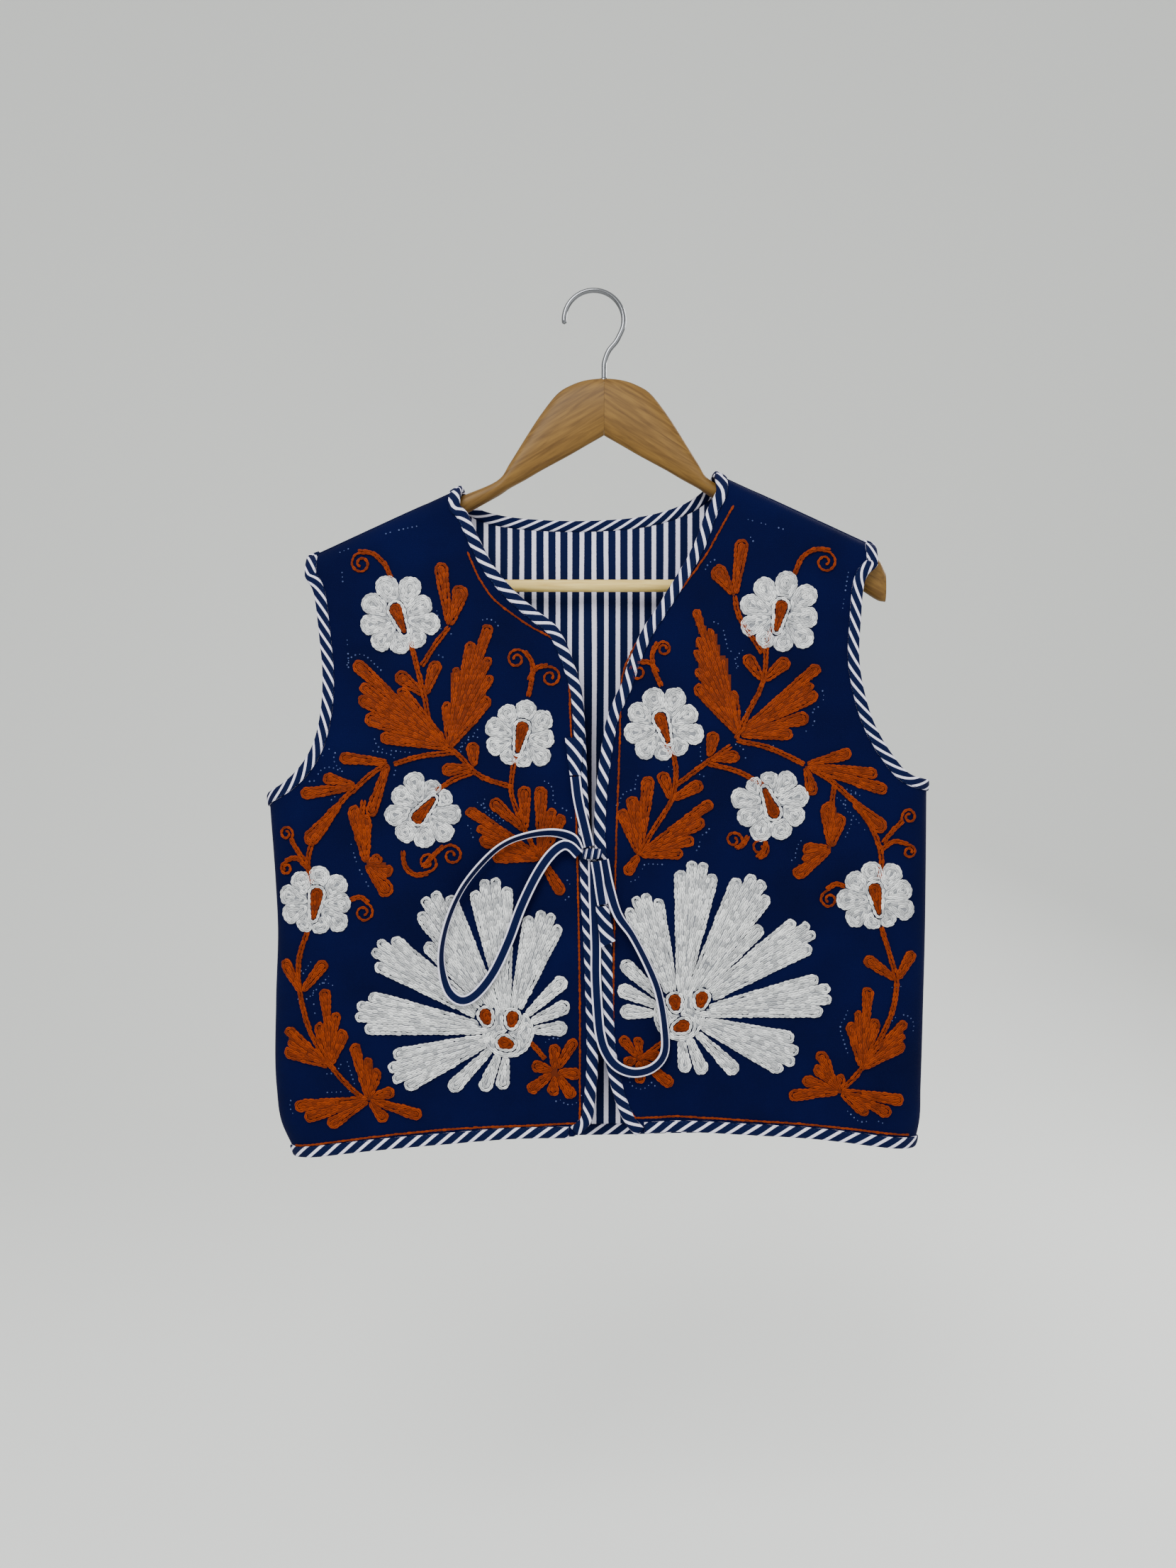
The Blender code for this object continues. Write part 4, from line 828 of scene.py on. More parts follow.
def finger_rows(x, z, xs, zs, x0, z0, fingers, first, start, cut=None, holes=()):
    """Rows that run out along each finger of a fan and back, and the fan's whole field.

    Each finger has its own share of the fan, between the lines half way to its neighbours. Where a share is
    too narrow for a row out and a row back, one row lies along its middle.
    """
    away, bearing = np.hypot(x - x0, z - z0), np.degrees(np.arctan2(z - z0, x - x0))
    whole, lines = np.full(x.shape, 99.0), []
    for degrees, reach, half in fingers:
        a = math.radians(degrees)
        far = max(reach - half, first + 1)
        finger = capsule(x, z, x0, z0, a, first, far, start, half)
        whole = np.minimum(whole, finger)
        turns = [(other - degrees + 180) % 360 - 180 for other, _, _ in fingers if other != degrees]
        left = min([turn for turn in turns if turn > 0] + [WIDEST_SHARE])/2
        right = min([-turn for turn in turns if turn < 0] + [WIDEST_SHARE])/2
        turned = (bearing - degrees + 180) % 360 - 180
        over = np.where(turned > 0, turned - left, -turned - right)
        share = np.maximum(finger, away*np.sin(np.radians(np.clip(over, -80, 80))) + 0.1)
        if cut is not None:
            share = np.maximum(share, cut)
        lines += rows_of(share, xs, zs, LEVELS)
        r = np.arange(first, reach - 2, 1.0)
        wide = start + (half - start)*np.clip((r - first)/(far - first), 0, 1)
        west, east = (np.minimum(wide, r*math.tan(math.radians(min(side, 60)))) for side in (left, right))
        pairs = np.floor(np.maximum((west + east)/2 - ROW/2 - 0.5, -0.1)/ROW + 1)
        spare = (west + east - 2*ROW*pairs > 0.9) & (r < far)
        off = (west - east)/2
        path = np.stack([x0 + r*math.cos(a) - off*math.sin(a), z0 + r*math.sin(a) + off*math.cos(a)], axis=-1)
        for hole in holes:
            spare &= np.hypot(path[:, 0] - hole[0], path[:, 1] - hole[1]) > EYE_ROOM
        for run in np.split(np.arange(len(r)), np.nonzero(np.diff(spare))[0] + 1):
            if spare[run[0]] and len(run) > 3:
                lines.append((path[run], False))
    return lines, whole


# Flowers: the heart, the reach along and across, and the way the flower opens
FLOWERS = [
    # name, x, z, along, across, degrees
    ("flower_left_1", -158.5, -258.0, 36, 29.5, 111),
    ("flower_left_2", -65.0, -350.0, 30, 27.5, 78),
    ("flower_left_3", -139.0, -405.5, 31, 29.5, 230),
    ("flower_left_4", -223.0, -478.5, 30, 28.5, 82),
    ("flower_right_1", 135.5, -256.0, 36, 31, 78),
    ("flower_right_2", 46.0, -342.5, 33, 30, 109),
    ("flower_right_3", 128.0, -400.0, 31, 29.5, 292),
    ("flower_right_4", 210.5, -475.0, 30, 30, 100),
]
PETALS, PETAL_HALF, FLOWER_ROOM, HEART_SHARE = 9, 9.0, 46, 0.62
PETAL_ROWS, EYE_ROWS = (-1.15, -3.3, -5.4, -7.4), (-0.9, -2.9)
EYE_GAP = 2.9          # from an eye to the other rows, with room for its ring
eyes, eye_fills = [], []
for name, x0, z0, along, across, degrees in FLOWERS:
    xs, zs, x, z = grid_round((x0 - FLOWER_ROOM, z0 - FLOWER_ROOM), (x0 + FLOWER_ROOM, z0 + FLOWER_ROOM))
    eye = capsule(x, z, x0, z0, math.radians(degrees), -11, 8, 1.4, 4.6)
    angle, away = np.degrees(np.arctan2(z - z0, x - x0)), np.hypot(x - x0, z - z0)
    lines, heart = [], away - HEART_SHARE*along
    for i in range(PETALS):
        off = 360*(i + 0.5)/PETALS - 180
        reach = math.hypot(along*math.cos(math.radians(off)), across*math.sin(math.radians(off)))
        reach *= 0.78 if abs(off) > 150 else 1 + 0.04*math.sin(i*2.4)
        petal = capsule(x, z, x0, z0, math.radians(degrees + off), 6, reach - PETAL_HALF, 4, PETAL_HALF)
        heart = np.minimum(heart, petal)
        turned = np.radians((angle - degrees - off + 180) % 360 - 180)
        sector = away*np.sin(np.clip(np.abs(turned) - math.pi/PETALS, -1.2, 1.2)) + 0.1
        lines += rows_of(np.maximum(np.maximum(petal, sector), EYE_GAP - eye), xs, zs, PETAL_ROWS)
    lines += rows_of(eye, xs, zs, [1.6])
    embroider(f"{name}_stitches", lines, WHITE, [name], pitch=3.9, width=2.7, height=1.5,
              fills=[filled(np.maximum(heart, 1.2 - eye), xs, zs, 2, 0.5)])
    eyes += rows_of(eye, xs, zs, EYE_ROWS)
    eye_fills.append(filled(eye - 0.5, xs, zs, 1, 0.7))

# Palmettes
PALMETTE = [
    # degrees, reach, half width, scallops
    (-84, 45, 5.5, 1), (-67, 50, 5.5, 1), (-45, 64, 6, 1), (-20, 98, 19, 4), (8, 120, 18, 4), (33, 124, 17, 4),
    (47, 94, 5.5, 1), (60, 124, 19, 4), (83, 121, 18, 4), (108, 99, 17, 4), (137, 61, 6, 1), (156, 52, 6, 1),
    (176, 46, 6, 1),
]
PALMETTE_HUBS = {"left": (-74.3, -577.5), "right": (57.8, -564.3)}
HUB_RADIUS, PALMETTE_ROOM, ROOM_BELOW = 20, 130, 75
# Eyes of a palmette round its hub: across, up, and the way each points
PALMETTE_EYES = [(-3, 9, 100), (17, 11, 75), (1, -9, 20)]
for which, (x0, z0) in PALMETTE_HUBS.items():
    mirror = -1 if which == "left" else 1
    xs, zs, x, z = grid_round((x0 - PALMETTE_ROOM, z0 - ROOM_BELOW), (x0 + PALMETTE_ROOM, z0 + PALMETTE_ROOM))
    away = np.hypot(x - x0, z - z0)
    fingers = []
    for degrees, reach, half, scallops in PALMETTE:
        spread = math.degrees(math.atan(half/reach))*2*(1 - 1/scallops)
        for i in range(scallops):
            share = i/(scallops - 1) - 0.5 if scallops > 1 else 0
            bearing = degrees + share*spread
            fingers.append((180 - bearing if which == "left" else bearing, reach*(1 - 0.28*share**2),
                            half/scallops*1.16 if scallops > 1 else half))
    cut = np.full(x.shape, -99.0)
    lines, holes = [], []
    for ex, ez, way in PALMETTE_EYES:
        way = math.radians(180 - way if which == "left" else way)
        cx, cz = x0 + mirror*ex, z0 + ez
        holes.append((cx, cz))
        eye = capsule(x, z, cx, cz, way, -2.5, 2.5, 3.0, 4.6)
        eyes += rows_of(eye, xs, zs, EYE_ROWS)
        eye_fills.append(filled(eye - 0.5, xs, zs, 1, 0.7))
        lines += rows_of(eye, xs, zs, [1.5])
        cut = np.maximum(cut, EYE_GAP - eye)
    lines += rows_of(np.maximum(away - HUB_RADIUS, cut), xs, zs, LEVELS)
    rows, whole = finger_rows(x, z, xs, zs, x0, z0, fingers, 16.0, 2.6, np.maximum(cut, HUB_RADIUS - 1 - away),
                              holes)
    field = np.maximum(np.minimum(whole, away - HUB_RADIUS), cut - 1.5)
    embroider(f"palmette_{which}_stitches", lines + rows, WHITE, [f"palmette_{which}"],
              height=1.5, fills=[filled(field, xs, zs, 3, 0.6)])
embroider("eye_stitches", eyes, RUST, (), pitch=3.4, width=2.3, height=1.5, fills=eye_fills)

# Rust motifs: fingers fanned from a hub
FANS = {
    # name: (hub x, hub z, [(degrees, reach, half width), ...])
    "leaf_left_1": (-120.0, -357.5, [
        (91, 36, 5), (85, 63, 5), (78, 84, 5), (72, 100, 5), (66, 77, 5), (60, 65, 5.5), (52, 50, 5.5),
        (131, 60, 5), (138, 99, 5), (145, 84, 5), (151, 80, 5), (160, 69, 5.5), (171, 54, 5)]),
    "leaf_left_2": (-49.1, -443.2, [
        (147, 69, 5), (154, 55, 5), (162, 50, 5.5), (178, 38, 5), (90, 56, 5), (76, 40, 5.5), (64, 38, 5),
        (-59, 33, 4.5)]),
    "leaf_left_3": (-166.9, -369.2, [(174, 38, 4.5), (-109, 44, 4.5)]),
    "leaf_left_4": (-191.3, -387.5, [(165, 27, 4.5), (188, 44, 4.5)]),
    "leaf_left_5": (-184.0, -446.9, [(101, 46, 6.5), (93, 38, 6), (-53, 31, 6), (13, 13, 6), (-20, 22, 7)]),
    "leaf_left_6": (-234.0, -546.8, [(121, 29, 4.5), (52, 31, 4.5)]),
    "leaf_left_7": (-211.9, -603.5, [
        (94, 60, 5), (104, 35, 5), (84, 42, 5), (70, 30, 5.5), (142, 45, 5), (151, 38, 5), (162, 38, 5)]),
    "leaf_left_8": (-182.1, -629.5, [
        (104, 45, 5), (92, 33, 5), (76, 25, 5), (18, 21, 4.5), (-18, 43, 4.5), (-52, 22, 4.5),
        (186, 58, 5), (196, 52, 5), (213, 38, 5)]),
    "leaf_right_1": (104.0, -347.5, [
        (100, 35, 5), (102, 64, 5), (105, 86, 5), (109, 103, 5), (113, 82, 5), (117, 74, 5), (122, 61, 5.5),
        (130, 51, 5.5), (40, 82, 5), (34, 70, 5), (28, 69, 5.5), (14, 56, 5.5), (1, 42, 5)]),
    "leaf_right_2": (26.9, -440.2, [
        (83, 61, 5), (97, 46, 5.5), (112, 38, 5), (35, 70, 5), (28, 57, 5), (15, 44, 5.5), (2, 34, 4.5),
        (-123, 19, 4.5)]),
    "leaf_right_3": (155.7, -371.4, [(16, 37, 4.5), (-7, 56, 4.5), (-17, 66, 4.5), (-76, 24, 4.5)]),
    "leaf_right_4": (175.0, -435.3, [(91, 36, 7.5), (75, 28, 6), (217, 36, 6), (187, 22, 6), (200, 24, 7)]),
    "leaf_right_5": (225.9, -537.2, [(145, 30, 4.5), (59, 26, 4.5)]),
    "leaf_right_6": (199.3, -605.5, [
        (86, 63, 5), (94, 45, 5), (103, 37, 5), (75, 40, 5), (45, 50, 5), (38, 42, 5), (30, 38, 5)]),
    "leaf_right_7": (182.6, -623.7, [
        (95, 14, 4.5), (119, 35, 5), (134, 28, 5), (185, 40, 4.5), (162, 31, 4.5), (-8, 50, 4.5),
        (-24, 43, 4.5), (-39, 28, 4.5)]),
    "star_left": (-38.1, -608.2, [
        (58, 30, 4), (91, 22, 4.5), (163, 19, 4.5), (216, 26, 4.5), (265, 19, 4.5), (305, 25, 4.5),
        (354, 20, 4.5)]),
    "star_right": (27.0, -597.5, [
        (131, 22, 4), (94, 17, 4), (10, 17, 4), (320, 34, 4.5), (273, 20, 4), (200, 13, 4)]),
}
FAN_FIRST, FAN_START, FAN_SWELL, MARK_GAP = 1.5, 2.8, 0.4, 4.2
marks = []


def fan_rows(x0, z0, fingers):
    """Rows and filling of one fan, with lines round it for the pattern's dots."""
    furthest = max(reach for _, reach, _ in fingers) + 8
    xs, zs, x, z = grid_round((x0 - furthest, z0 - furthest), (x0 + furthest, z0 + furthest))
    swollen = [(degrees, reach, half + FAN_SWELL) for degrees, reach, half in fingers]
    lines, whole = finger_rows(x, z, xs, zs, x0, z0, swollen, FAN_FIRST, FAN_START)
    marks.extend(contours(whole, MARK_GAP, xs, zs))
    return lines, filled(whole, xs, zs, 3, 0.6)


for name, (x0, z0, fingers) in FANS.items():
    lines, filling = fan_rows(x0, z0, fingers)
    embroider(f"{name}_stitches", lines, RUST, [name], height=1.3, fills=[filling])

# Small leaves and buds: the base, then each tip with its half width
SPRIGS = [
    (-120, -264, [(-127, -214, 5.2), (-110, -232, 6.5)]),
    (-139, -317, [(-161, -300, 5.5), (-129, -290, 5)]),
    (-101, -373, [(-102, -353, 5), (-126, -375, 5)]),
    (-61, -422, [(-88, -398, 5), (-62, -387, 5)]),
    (-203, -400, [(-230, -432, 6)]),
    (101, -240, [(107, -196, 5.2), (85, -217, 6.2)]),
    (123, -306, [(109, -286, 5), (143, -289, 5.5)]),
    (81, -366, [(85, -345, 5), (105, -364, 5)]),
    (52, -398, [(44, -376, 4.8), (76, -385, 5)]),
    (192, -399, [(217, -422, 6)]),
]
sprigs, sprig_fills = [], []
for x0, z0, tips in SPRIGS:
    fingers = [(math.degrees(math.atan2(z - z0, x - x0)), math.hypot(x - x0, z - z0), half)
               for x, z, half in tips]
    lines, filling = fan_rows(x0, z0, fingers)
    sprigs += lines
    sprig_fills.append(filling)
embroider("sprig_stitches", sprigs, RUST, (), width=2.6, height=1.3, fills=sprig_fills)

# Stems: two rows of chain side by side
STEMS = [
    [(-150, -275), (-143, -303), (-139, -319), (-135, -338), (-127, -353)],
    [(-120, -264), (-131, -278), (-141, -294)],
    [(-127, -353), (-112, -364), (-102, -375), (-93, -381), (-72, -388)],
    [(-68, -363), (-71, -376), (-72, -392), (-68, -405), (-61, -422), (-52, -440)],
    [(-115, -361), (-140, -364), (-162, -370)],
    [(-167, -370), (-180, -378), (-192, -389)],
    [(-192, -389), (-202, -398), (-212, -412)],
    [(-102, -377), (-116, -382), (-130, -391)],
    [(-186, -398), (-187, -412), (-185, -430)],
    [(-212, -412), (-224, -428), (-229, -446), (-226, -462)],
    [(-229, -499), (-236, -522), (-235, -548), (-228, -575), (-214, -600), (-199, -618), (-185, -630)],
    [(-57, -585), (-46, -598)],
    [(107, -262), (115, -273), (122, -284)],
    [(131, -264), (126, -275), (123, -306), (110, -333), (102, -350)],
    [(101, -240), (103, -252), (108, -264)],
    [(47, -354), (54, -366), (55, -383), (51, -400), (36, -424), (27, -440)],
    [(98, -356), (78, -370), (56, -386)],
    [(80, -370), (103, -376), (122, -386)],
    [(102, -352), (128, -358), (154, -370)],
    [(160, -374), (176, -384), (194, -400)],
    [(178, -386), (176, -402), (175, -430)],
    [(194, -400), (206, -418), (214, -440), (213, -458)],
    [(214, -496), (221, -519), (226, -540), (221, -566), (208, -592), (196, -610), (184, -622)],
    [(49, -582), (36, -592), (27, -598)],
]


def beside(line, off):
    return line + left_of(unit(np.gradient(line, axis=0)))*off


STEM_HALF, SCROLL_OFF, SCROLL_END, SCROLL_TURN = 1.05, 1.9, 2.0, math.radians(500)
stems = []
for points in STEMS:
    line = curve(points, 60)
    stems += [(beside(line, off), False) for off in (STEM_HALF, -STEM_HALF)]

# Scrolls: the way in, then the middle of the spiral and the way it turns
SCROLLS = [
    # points, middle x, middle z, turn
    ([(-165, -228), (-171, -216), (-180, -208), (-190, -207)], -188, -215, 1),
    ([(-60, -318), (-57, -304), (-57, -292), (-62, -284)], -68, -289, 1),
    ([(-58, -306), (-52, -297), (-44, -295)], -42, -303, -1),
    ([(-155, -437), (-153, -449), (-146, -455), (-137, -454)], -137, -446, 1),
    ([(-140, -451), (-131, -441), (-124, -435)], -118, -441, -1),
    ([(-196, -476), (-189, -474), (-183, -478)], -186, -485, -1),
    ([(-229, -452), (-238, -444), (-246, -446)], -246, -451, 1),
    ([(-232, -446), (-238, -437), (-243, -429)], -246, -424, 1),
    ([(148, -224), (154, -211), (164, -205), (174, -206)], 171, -214, -1),
    ([(45, -310), (40, -298), (38, -286), (42, -277)], 46, -281, -1),
    ([(41, -300), (35, -293), (28, -292)], 26, -299, 1),
    ([(112, -426), (108, -433), (102, -436)], 100, -429, 1),
    ([(126, -430), (124, -438), (119, -443)], 120, -435, 1),
    ([(186, -466), (179, -464), (173, -468)], 174, -475, 1),
    ([(214, -438), (224, -431), (234, -433)], 236, -438, -1),
    ([(216, -432), (224, -422), (231, -415)], 236, -411, -1),
]
for points, cx, cz, turn in SCROLLS:
    lead = curve(points, 24)
    radius = math.hypot(points[-1][0] - cx, points[-1][1] - cz)
    start = math.atan2(points[-1][1] - cz, points[-1][0] - cx)
    turns = np.linspace(0, 1, 46)[1:]
    r = radius*(1 - turns) + SCROLL_END*turns
    a = start + turn*turns*SCROLL_TURN
    spiral = np.stack([cx + r*np.cos(a), cz + r*np.sin(a)], axis=-1)
    stems += [(np.vstack([lead, spiral]), False), (beside(lead, -turn*SCROLL_OFF), False)]
embroider("stem_stitches", stems, RUST, (), pitch=3.7, width=2.3, height=1.25)

# The thin chain beside the front edges and the hem
CHAIN_LINES = [
    [(-106, -206), (-97, -226), (-84, -244), (-60, -262), (-38, -275), (-28, -290), (-27, -310), (-26, -340),
     (-23, -382), (-21, -444), (-19, -547), (-19, -648)],
    [(-19, -648), (-60, -650), (-120, -653), (-180, -659), (-240, -667)],
    [(100, -170), (88, -192), (75, -214), (52, -244), (31, -268), (18, -290), (13, -310), (12, -350), (9, -437),
     (7, -547), (8, -600), (14, -630), (24, -644)],
    [(24, -644), (60, -643), (105, -646), (163, -650), (236, -658)],
]
embroider("edge_chain_stitches", [(curve(line, 400), False) for line in CHAIN_LINES], RUST, (),
          pitch=3.4, width=1.7, height=0.9)

# Faint pale dots that are left of the marked-out pattern, beside parts of the motifs and along the armholes
GUIDES = [
    [(-203, -222), (-200, -260), (-198, -300), (-201, -335), (-212, -358), (-234, -378)],
    [(-135, -184), (-170, -192), (-205, -206)],
    [(190, -215), (184, -255), (182, -292), (186, -322), (196, -346), (222, -368)],
    [(108, -180), (150, -192), (190, -208)],
]
DOT_STEP, DOT_RADIUS, DOT_CORNERS, DOT_LIFT, DOTS_LEFT = 3.5, 0.55, 6, 0.02, 0.85
marks += [curve(line, 120) for line in GUIDES]
dots = []
for line in marks:
    spots = at_lengths(line, np.arange(0, lengths(line)[-1], DOT_STEP))
    seen = np.sin(spots[:, 0]/9.0 + spots[:, 1]/31.0) + np.sin(spots[:, 1]/13.0 - spots[:, 0]/40.0) > 0.75
    dots.append(spots[seen & (random.random(len(spots)) < DOTS_LEFT)])
dots = np.vstack(dots)
turns = np.arange(DOT_CORNERS)*2*math.pi/DOT_CORNERS
ring = np.stack([np.cos(turns), np.sin(turns)], axis=-1)*DOT_RADIUS
spots = dots[:, None] + ring[None]*(0.7 + 0.6*random.random((len(dots), 1, 1)))
corners = np.arange(len(dots)*DOT_CORNERS)
mesh_of("pattern_dots", on_front(spots, np.full(spots.shape[:2], DOT_LIFT)), corners.reshape(-1, DOT_CORNERS),
        [CHALK], np.zeros((len(corners), 2)), np.repeat(random.random(len(dots)), DOT_CORNERS))

# Ribbon routes: x, z, height over the cloth and the turn of the ribbon in degrees
TIE_ROUTES = {
    "tie_run_left": [
        (-22.3, -380, 3.6, 0), (-20, -398, 3.2, 0), (-15.6, -417, 3.2, 0), (-11.6, -433.8, 3.3, 0)],
    "tie_loop_left": [
        (-19.4, -436.5, 5.4, 0), (-25, -427.0, 5.8, 15), (-41, -423, 6.5, 40), (-62.6, -426, 7.5, 55),
        (-80, -433.7, 7.5, 60), (-96, -448.5, 7.5, 60), (-110, -467, 7.5, 62), (-119.9, -489, 7.5, 62),
        (-125, -510, 7.5, 60), (-125, -528, 7.0, 50), (-120, -545, 6.0, 30), (-110, -552.5, 5.5, 10),
        (-98.6, -547.5, 5.2, 0), (-85.5, -531, 5.2, 0), (-74, -507, 5.2, 0), (-64.2, -481, 5.6, 0),
        (-52.7, -457, 6.4, 0), (-42, -441, 7.5, 0), (-32.5, -433, 8.6, 0), (-26, -433.5, 8.8, 0),
        (-19.4, -440, 8.2, 0)],
    "tie_loop_right": [
        (-0.6, -444, 4.6, 0), (3.4, -463.8, 4.7, 5), (10.1, -485.6, 5.6, 28), (21.5, -502.5, 6.8, 45),
        (34, -527, 6.8, 45), (41.5, -547, 6.6, 42), (45.8, -572, 6.4, 38), (46, -592, 6.2, 30),
        (37.4, -603.5, 5.8, 20), (23.2, -607.5, 5.4, 10), (10.1, -603, 5.2, 0), (1.3, -592, 5.0, 0),
        (-3.4, -577, 4.4, 0), (-5.6, -552, 3.6, 0), (-6.6, -531, 3.4, 0), (-6.6, -511, 3.4, 0),
        (-7.4, -486, 3.2, 0), (-8.2, -464, 3.2, 0), (-8.4, -445.2, 3.2, 0)],
    "tie_tail": [(-6.4, -445.2, 7.6, 0), (-4.6, -456, 7.8, 0), (-3, -468, 7.7, 0), (-1.4, -478, 6.8, 0)],
}
TIE_WIDTH, TIE_THICK = 8.0, 1.4
KNOT, KNOT_HALF = (-9.2, -439.4, 6.2), (7.4, 4.6, 4.2)
TIE_ENDS = {
    "tie_end_left": ([(-30.3, -350), (-15.8, -350), (-18.0, -379), (-26.5, -379)], 3.4),
    "tie_end_tail": ([(-6.6, -479.6), (3.0, -479.6), (8.4, -506), (-2.6, -511)], 6.4),
}


def front_at(x, z, lift):
    """Points over the flat of the front, where no round needs to be followed."""
    return cloth(-1, np.stack([np.asarray(x, float), np.asarray(z, float)], axis=-1), -np.asarray(lift, float))


# Points round the ribbon's section: across and up, in shares of its half width and half thickness
RIBBON_SECTION = np.array([
    (-1, -0.3), (-1, 0.3), (-0.9, 0.85), (-0.72, 0.7), (-0.3, 0.95), (0.3, 0.95), (0.72, 0.7), (0.9, 0.85),
    (1, 0.3), (1, -0.3), (0.9, -0.85), (0.3, -0.9), (-0.3, -0.9), (-0.9, -0.85),
])
SHORT_ROUTES = ("tie_run_left", "tie_tail")
paths, tie_lengths = {}, {}
for name, route in TIE_ROUTES.items():
    stations = curve(route, 12 if name in SHORT_ROUTES else 160)
    centres = front_at(stations[:, 0], stations[:, 1], stations[:, 2])
    ways = unit(np.gradient(centres, axis=0))
    flat = unit(np.cross(ways, (0, -1, 0)))
    up = np.cross(flat, ways)
    c, s = np.cos(np.radians(stations[:, 3]))[:, None], np.sin(np.radians(stations[:, 3]))[:, None]
    wide, high = c*flat + s*up, c*up - s*flat
    points = np.stack([centres + wide*a*TIE_WIDTH/2 + high*b*TIE_THICK/2 for a, b in RIBBON_SECTION], axis=1)
    along = lengths(centres)
    uv = np.stack(np.broadcast_arrays(along[:, None]/MAP, (RIBBON_SECTION[:, 0] + 1)/2), axis=-1)
    mesh_of(f"{name}_ribbon", points, tube_faces(len(stations), len(RIBBON_SECTION)), [RIBBON], uv,
            nodes=[name])
    paths[name], tie_lengths[name] = centres*METRES, float(along[-1])*METRES

x0, z0, lift = KNOT
centre = front_at(x0, z0, lift)
wide, tall, deep = KNOT_HALF
shares = np.linspace(-1, 1, 25)
angles = np.radians(np.arange(0, 360, 12))
size = np.sqrt(np.clip(1 - (0.86*shares)**4, 0, 1))*(1 - 0.13*np.abs(np.sin(shares*6.2)))
points = np.stack([np.stack([np.full_like(angles, a*wide) + 0.8*np.sin(angles), deep*q*np.cos(angles),
                             tall*q*np.sin(angles)], axis=-1) for a, q in zip(shares, size)]) + centre
uv = np.stack(np.broadcast_arrays(angles[None]*0.012, (shares[:, None]*1.5 + 3) % 1), axis=-1)
mesh_of("tie_knot_wraps", points, tube_faces(len(shares), len(angles)), [RIBBON], uv, nodes=["tie_knot"])
TAB_ROWS, TAB_COLUMNS, TAB_LENGTH, TAB_WIDTH = 16, 9, 29, 11
for name, (corners, lift) in TIE_ENDS.items():
    corners = np.array(corners)
    t, s = np.linspace(0, 1, TAB_ROWS)[:, None, None], np.linspace(0, 1, TAB_COLUMNS)[None, :, None]
    flat = (1 - t)*((1 - s)*corners[0] + s*corners[1]) + t*((1 - s)*corners[3] + s*corners[2])
    thick = TIE_THICK/2*(1 - 0.45*np.abs(2*s[..., 0] - 1)**4)*np.ones((TAB_ROWS, 1))
    upper = front_at(flat[..., 0], flat[..., 1], lift + thick)
    lower = front_at(flat[..., 0], flat[..., 1], lift - thick)
    points = np.concatenate([upper, lower[:, ::-1]], axis=1)
    across, down = np.meshgrid(np.linspace(0, TAB_WIDTH, TAB_COLUMNS), np.linspace(0, TAB_LENGTH, TAB_ROWS))
    uv = np.stack([down, across], axis=-1)/MAP
    mesh_of(f"{name}_tab", points, tube_faces(TAB_ROWS, 2*TAB_COLUMNS), [BIAS[-LEAN]],
            np.concatenate([uv, uv[:, ::-1]], axis=1), nodes=[name])

# Hanger
ARM = [
    # x, top z, bottom z, half thickness
    (0, -66, -111, 7), (14, -67.5, -119, 7), (26, -71.5, -126, 7), (37, -78.5, -132, 7), (50, -95, -139, 7),
    (62, -113.5, -146, 7), (74, -133, -152.5, 7), (84, -147, -159, 7), (112, -159.2, -174.5, 7),
    (140, -170.6, -190, 7.2), (165, -182.2, -206, 7.8), (185, -191.4, -219, 8.6), (203, -200.6, -233, 9),
    (215, -208, -241, 8), (221, -219, -242.5, 5),
]
ARM_FORWARD, HANGER_HALF, ARM_GAP = 2.0, 222.5, 0.06
ARM_FULLNESS = 0.8     # under 1 its section is fuller than an ellipse
stations = curve(ARM, 90)
stations[:, 0] = np.maximum(stations[:, 0], ARM_GAP)
angles = np.radians(np.arange(0, 360, 10))
for which, sign in (("left", -1), ("right", 1)):
    x, top, bottom, half = stations.T
    middle, tall = (top + bottom)/2, (top - bottom)/2
    lean = -ARM_FORWARD*(x/HANGER_HALF)**2
    cosine = np.copysign(np.abs(np.cos(angles))**ARM_FULLNESS, np.cos(angles))
    points = np.stack([sign*np.repeat(x[:, None], len(angles), 1), lean[:, None] + half[:, None]*cosine,
                       middle[:, None] + tall[:, None]*np.sin(angles)], axis=-1)
    mesh_of(f"arm_{which}_wood", points, tube_faces(len(x), len(angles)), [WOOD[which]],
            nodes=[f"hanger_arm_{which}"])
    rim = np.arange(len(angles))
    following = np.roll(rim, -1)
    caps = [np.stack([np.full_like(rim, 2*len(rim)), following, rim], axis=-1),
            np.stack([np.full_like(rim, 2*len(rim) + 1), len(rim) + rim, len(rim) + following], axis=-1)]
    rings = points[[0, -1]]
    mesh_of(f"arm_{which}_ends", np.vstack([*rings, rings.mean(axis=1)]), np.vstack(caps), [WOOD[which]],
            smooth=False)

BAR_RADIUS, BAR_Z, BAR_HALF = 4.8, -229.5, 208.0
x = np.linspace(-BAR_HALF, BAR_HALF, 80)
ring = BAR_RADIUS*np.cos(angles), BAR_Z + BAR_RADIUS*np.sin(angles)
points = np.stack(np.broadcast_arrays(x[:, None], *ring), axis=-1)
mesh_of("bar_wood_round", points, tube_faces(len(x), len(angles)), [BAR_WOOD], nodes=["hanger_bar"])

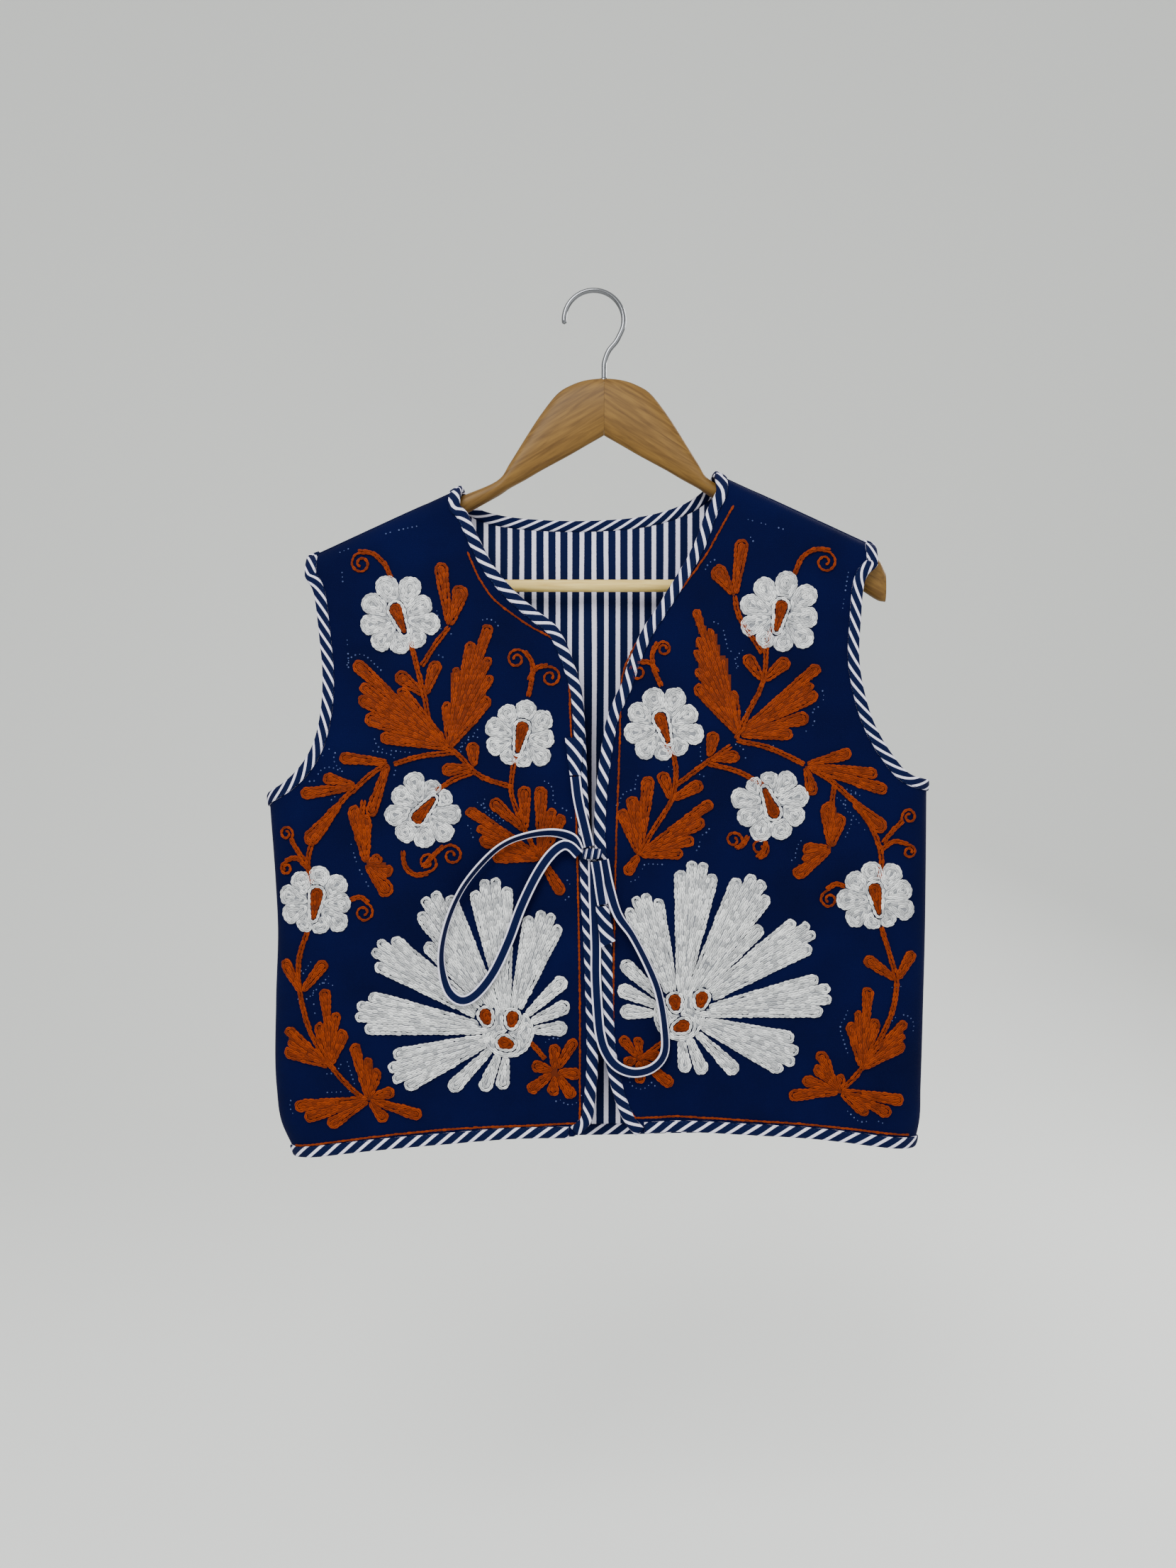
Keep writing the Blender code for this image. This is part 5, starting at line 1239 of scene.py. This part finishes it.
WIRE_RADIUS, WIRE_TIP, HOOK_RADIUS, HOOK_CENTRE_X = 2.0, 1.8, 23.5, -8.0
centre_z = WIRE_RADIUS - math.sqrt(HOOK_RADIUS**2 - HOOK_CENTRE_X**2)
arc = [(HOOK_CENTRE_X + HOOK_RADIUS*math.cos(a), 0, centre_z + HOOK_RADIUS*math.sin(a))
       for a in np.radians(np.arange(188, -31, -15.64))]
neck = [(9.2, 0, -37.5), (3.6, 0, -44.5), (0.4, 0, -53), (0, 0, -60), (0, 0, -67.5)]
route = curve(arc + neck, 120)
out = np.cross(unit(np.gradient(route, axis=0)), (0, 1, 0))
radius = WIRE_RADIUS*np.sqrt(np.clip(1 - (1 - lengths(route)/WIRE_TIP).clip(0, 1)**2, 0.02, 1))
points = (route[:, None] + radius[:, None, None]*(np.cos(angles)[None, :, None]*np.array([0, 1, 0])
                                                  + np.sin(angles)[None, :, None]*out[:, None]))
mesh_of("hook_wire", points, tube_faces(len(route), len(angles)), [CHROME], nodes=["hanger_hook"])
COLLAR = [(3.0, -67.6), (3.0, -66.3), (2.6, -65.9), (2.05, -65.8)]
points = np.array([[(r*math.cos(a), r*math.sin(a), z) for a in angles] for r, z in COLLAR])
mesh_of("hook_collar", points, tube_faces(len(COLLAR), len(angles)), [CHROME])

# Floor, light and camera
floor_look = Look("pale_floor", {"Base Color": (0.74, 0.75, 0.73, 1), "Roughness": 0.9}).material
FLOOR_Z, SWEEP_START, SWEEP = -1.1, 1.4, 1.6
sweep = [(-6.0, FLOOR_Z), (SWEEP_START, FLOOR_Z)]
sweep += [(SWEEP_START + SWEEP*math.sin(a), FLOOR_Z + SWEEP - SWEEP*math.cos(a))
          for a in np.radians(np.arange(7.5, 90, 7.5))]
sweep += [(SWEEP_START + SWEEP, FLOOR_Z + SWEEP), (SWEEP_START + SWEEP, 5.0)]
floor_mesh = bpy.data.meshes.new("floor")
floor_mesh.from_pydata([(x, y, z) for y, z in sweep for x in (-7, 7)], [],
                       [(2*i, 2*i + 1, 2*i + 3, 2*i + 2) for i in range(len(sweep) - 1)])
floor_mesh.polygons.foreach_set("use_smooth", [True]*len(floor_mesh.polygons))
floor_mesh.materials.append(floor_look)
floor = bpy.data.objects.new("floor", floor_mesh)
bpy.context.scene.collection.objects.link(floor)
floor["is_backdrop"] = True

world = bpy.data.worlds.new("studio")
world.use_nodes = True
world.node_tree.nodes["Background"].inputs["Color"].default_value = (0.84, 0.85, 0.84, 1)
world.node_tree.nodes["Background"].inputs["Strength"].default_value = 1.2
bpy.context.scene.world = world

for name, place, size, power in (("key", (-0.5, -1.5, 0.9), 1.0, 40), ("fill", (1.4, -1.6, -0.2), 1.6, 9),
                                 ("back", (1.3, 1.3, 0.7), 0.9, 40)):
    data = bpy.data.lights.new(name, "AREA")
    data.size, data.energy = size, power
    light = bpy.data.objects.new(name, data)
    light.location = place
    aim = np.array([0, 0, -0.4]) - np.array(place)
    light.rotation_euler = (math.atan2(math.hypot(aim[0], aim[1]), -aim[2]), 0, math.atan2(-aim[0], aim[1]))
    bpy.context.scene.collection.objects.link(light)

SENSOR, VIEW_HEIGHT = 24, 1.236      # the camera sees the view's height at a distance of 1 m
camera_data = bpy.data.cameras.new("camera")
camera_data.sensor_fit = "VERTICAL"
camera_data.sensor_height = SENSOR
camera_data.lens = SENSOR/VIEW_HEIGHT
camera_data.dof.use_dof = False
camera = bpy.data.objects.new("camera", camera_data)
camera.location = (-0.0126, -1.0, -0.3857)
camera.rotation_euler = (math.pi/2, 0, 0)
bpy.context.scene.collection.objects.link(camera)
bpy.context.scene.camera = camera

low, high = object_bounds()
